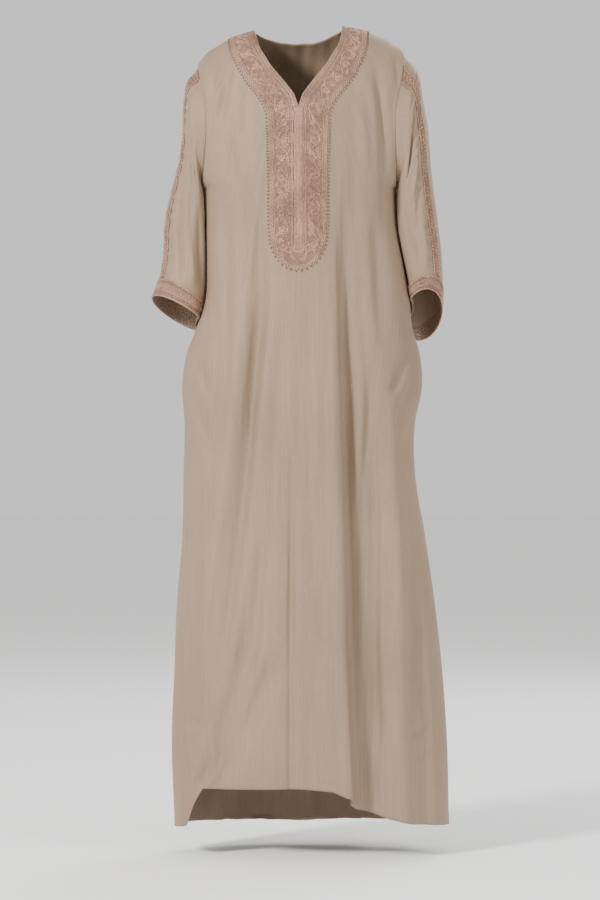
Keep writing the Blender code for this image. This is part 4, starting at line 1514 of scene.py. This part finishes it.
def aroundAngles(side, lengths):
    # angles of places round the cuff, from their cloth length past the outer arm
    run = aroundRuns[side]
    return np.interp(np.mod(lengths, run[-1]), run, angleSteps)


def downRings(side, lengths):
    # rings of places down the arm band, from their cloth length below its top
    return np.interp(lengths, downRuns[side], ringSteps)


def bandSpot(side, down, across, lift):
    # across is in metres from the middle of the arm band
    angle = armAngle(side, 0.5 + across / sleeveWork["bandWide"])
    return onSleeve(side, downRings(side, down), angle, lift)


def cuffSpot(side, around, down, lift):
    # down is in metres from the top of the cuff band
    ring = 11.0 + np.clip(down / sleeveWork["cuffDeep"], 0.0, 0.995)
    return onSleeve(side, ring, aroundAngles(side, around), lift)


def ringTurn(steps):
    return np.radians(np.linspace(0, 360, steps))


def armBandLines(side):
    plan = sleeveCords
    top = sleeveWork["lift"]
    length = float(downRuns[side][-1])
    down = np.arange(0.002, length - 0.001, plan["step"])
    lines = [bandSpot(side, down, np.full_like(down, across), top + plan["edge"] * 0.6)[0]
             for across in (-0.0116, -0.0098, 0.0098, 0.0116)]
    fine = np.arange(0.002, length - 0.001, 0.0012)
    turn = 2 * math.pi * fine / 0.015
    for way in (-1, 1):
        lift = top + plan["loop"] * (0.8 + 0.5 * way * np.cos(turn))
        lines.append(bandSpot(side, fine, way * 0.0056 * np.sin(turn), lift)[0])
    lift = top + plan["loop"] * 0.8
    spin = ringTurn(13)
    for middle in np.arange(0.0058, length - 0.004, 0.0075):
        lines.append(bandSpot(side, middle + 0.0017 * np.cos(spin), 0.0019 * np.sin(spin), lift)[0])
    return lines


def cuffLines(side):
    plan = sleeveCords
    top = sleeveWork["lift"]
    around = np.linspace(0.0, float(aroundRuns[side][-1]), 240)
    lines = []
    for down in (0.001, 0.0028, 0.0108, 0.0218, 0.0236, 0.0322, 0.034):
        lines.append(cuffSpot(side, around, np.full_like(around, down), top + plan["edge"] * 0.6)[0])
    # small leaning dashes in pairs, as chevrons
    ends = np.array((-0.5, 0.0, 0.5))
    for i, middle in enumerate(evenPlaces(side, 0.0036)):
        lean = 0.0016 if i % 2 else -0.0016
        down = 0.0068 + 0.006 * ends
        lines.append(cuffSpot(side, middle + lean * ends, down, top + plan["dash"] * 0.6)[0])
    for middle in evenPlaces(side, 0.008):
        for size, steps in ((0.0036, 15), (0.0019, 11)):
            spin = ringTurn(steps)
            down = 0.0163 + size * 1.15 * np.sin(spin)
            lift = top + plan["loop"] * 0.7
            lines.append(cuffSpot(side, middle + size * np.cos(spin), down, lift)[0])
    return lines


def evenPlaces(side, pitch, start=0.5):
    # places round the cuff, whole pitches in all
    whole = float(aroundRuns[side][-1])
    count = int(whole / pitch)
    return whole * (np.arange(count) + start) / count


def sleeveKnots(side):
    # where each row of small knots runs, its places, its offset, its lift and the knots' width
    down = np.arange(0.002, float(downRuns[side][-1]) - 0.002, 0.0075)
    loops = evenPlaces(side, 0.008, 0.0)
    rows = [
        (cuffSpot, evenPlaces(side, 0.0046), 0.0279, 0.0003, 0.0026),
        (cuffSpot, loops, 0.0135, 0.0003, 0.0018), (cuffSpot, loops, 0.0192, 0.0003, 0.0018),
        (bandSpot, down, -0.0078, 0.0002, 0.002), (bandSpot, down, 0.0078, 0.0002, 0.002)]
    parts = []
    for spot, places, offset, lift, wide in rows:
        points, normals = spot(side, places, np.full_like(places, offset), sleeveWork["lift"] + lift)
        ahead = np.roll(points, -1, axis=0) - points
        parts.append((points, normals, ahead, np.tile((wide, wide, wide * 0.7), (len(points), 1))))
    return parts


def sleeveDots(side):
    # dark short stitches: chevrons along the cuff's top, dots beside the arm band's cords; their
    # darkness is partly the thread's own and partly painted shade
    around = evenPlaces(side, 0.0058)
    down = np.arange(0.0025, float(downRuns[side][-1]) - 0.002, 0.0062)
    lean = np.where(np.arange(len(around)) % 2, 0.0012, -0.0012)
    # where a row runs, its places, its offset, the stitches' lean and drop, their lift and size
    rows = [
        (cuffSpot, around, 0.0062, lean, 0.002, 0.0004, (0.0058, 0.0024, 0.0017)),
        (cuffSpot, around, 0.0279, lean, 0.002, 0.0004, (0.003, 0.0024, 0.0017)),
        (bandSpot, down, -0.0107, 0.0006, 0.001, 0.0005, (0.0034, 0.0024, 0.0018)),
        (bandSpot, down, 0.0107, 0.0006, 0.001, 0.0005, (0.0034, 0.0024, 0.0018))]
    parts = []
    for spot, places, offset, shift, drop, lift, size in rows:
        level = np.full_like(places, offset)
        top = sleeveWork["lift"] + lift
        points, normals = spot(side, places, level, top)
        ahead = spot(side, places + shift, level + drop, top)[0] - points
        parts.append((points, normals, ahead, np.tile(size, (len(places), 1))))
    return parts


def makeSleeveCords(material, darkMaterial):
    for word, side in sides:
        dress(manyPiece("sleeveDots_" + word, sleeveDots(side)), darkMaterial, "embroidery")
        made = [cordPiece("armBandCords_" + word, armBandLines(side), sleeveCords["loop"]),
                cordPiece("cuffCords_" + word, cuffLines(side), sleeveCords["loop"]),
                manyPiece("sleeveKnots_" + word, sleeveKnots(side))]
        for piece in made:
            dress(piece, material, "embroidery")


makeSleeveCords(workedThread, shadowThread)
print("sleeve cords made")

# sewing: rows of fine stitches above the hems and beside the pocket mouths

sewing = dict(length=0.003, pitch=0.0046, width=0.0008, height=0.0006, aboveHem=0.0165, lift=0.00015)


def stitchRow(spot, count):
    # spot takes places from 0 to 1 along the row and gives points and normals
    places = (np.arange(count) + 0.5) / count
    points, normals = spot(places)
    ahead = spot(np.minimum(places + 0.2 / count, 1.0))[0] - points
    uneven = 1 + 0.08 * np.sin(places * count * 1.7)
    sizes = beadSizes(sewing["length"] * uneven, sewing["width"], sewing["height"])
    return points, normals, ahead, sizes


def makeStitches(material):
    for word, isFront in (("front", True), ("back", False)):
        def hemSpot(places, isFront=isFront):
            share = (places - 0.5) * 1.93
            z = hemHeight(share, isFront) + sewing["aboveHem"]
            return onPanel(share, z, isFront, sewing["lift"])

        rows = [stitchRow(hemSpot, int(0.56 / sewing["pitch"]))]
        for _, side in sides:
            def pocketSpot(places, isFront=isFront, side=side):
                z = robe["pocketTop"] + 0.006 + (robe["pocketLow"] - robe["pocketTop"] - 0.012) * places
                return onPanel(np.full_like(z, side * 0.962), z, isFront, sewing["lift"])
            rows.append(stitchRow(pocketSpot, int(0.175 / sewing["pitch"])))
        dress(manyPiece("stitches_" + word, rows), material, "cloth")


makeStitches(sewingThread)
print("stitches made")
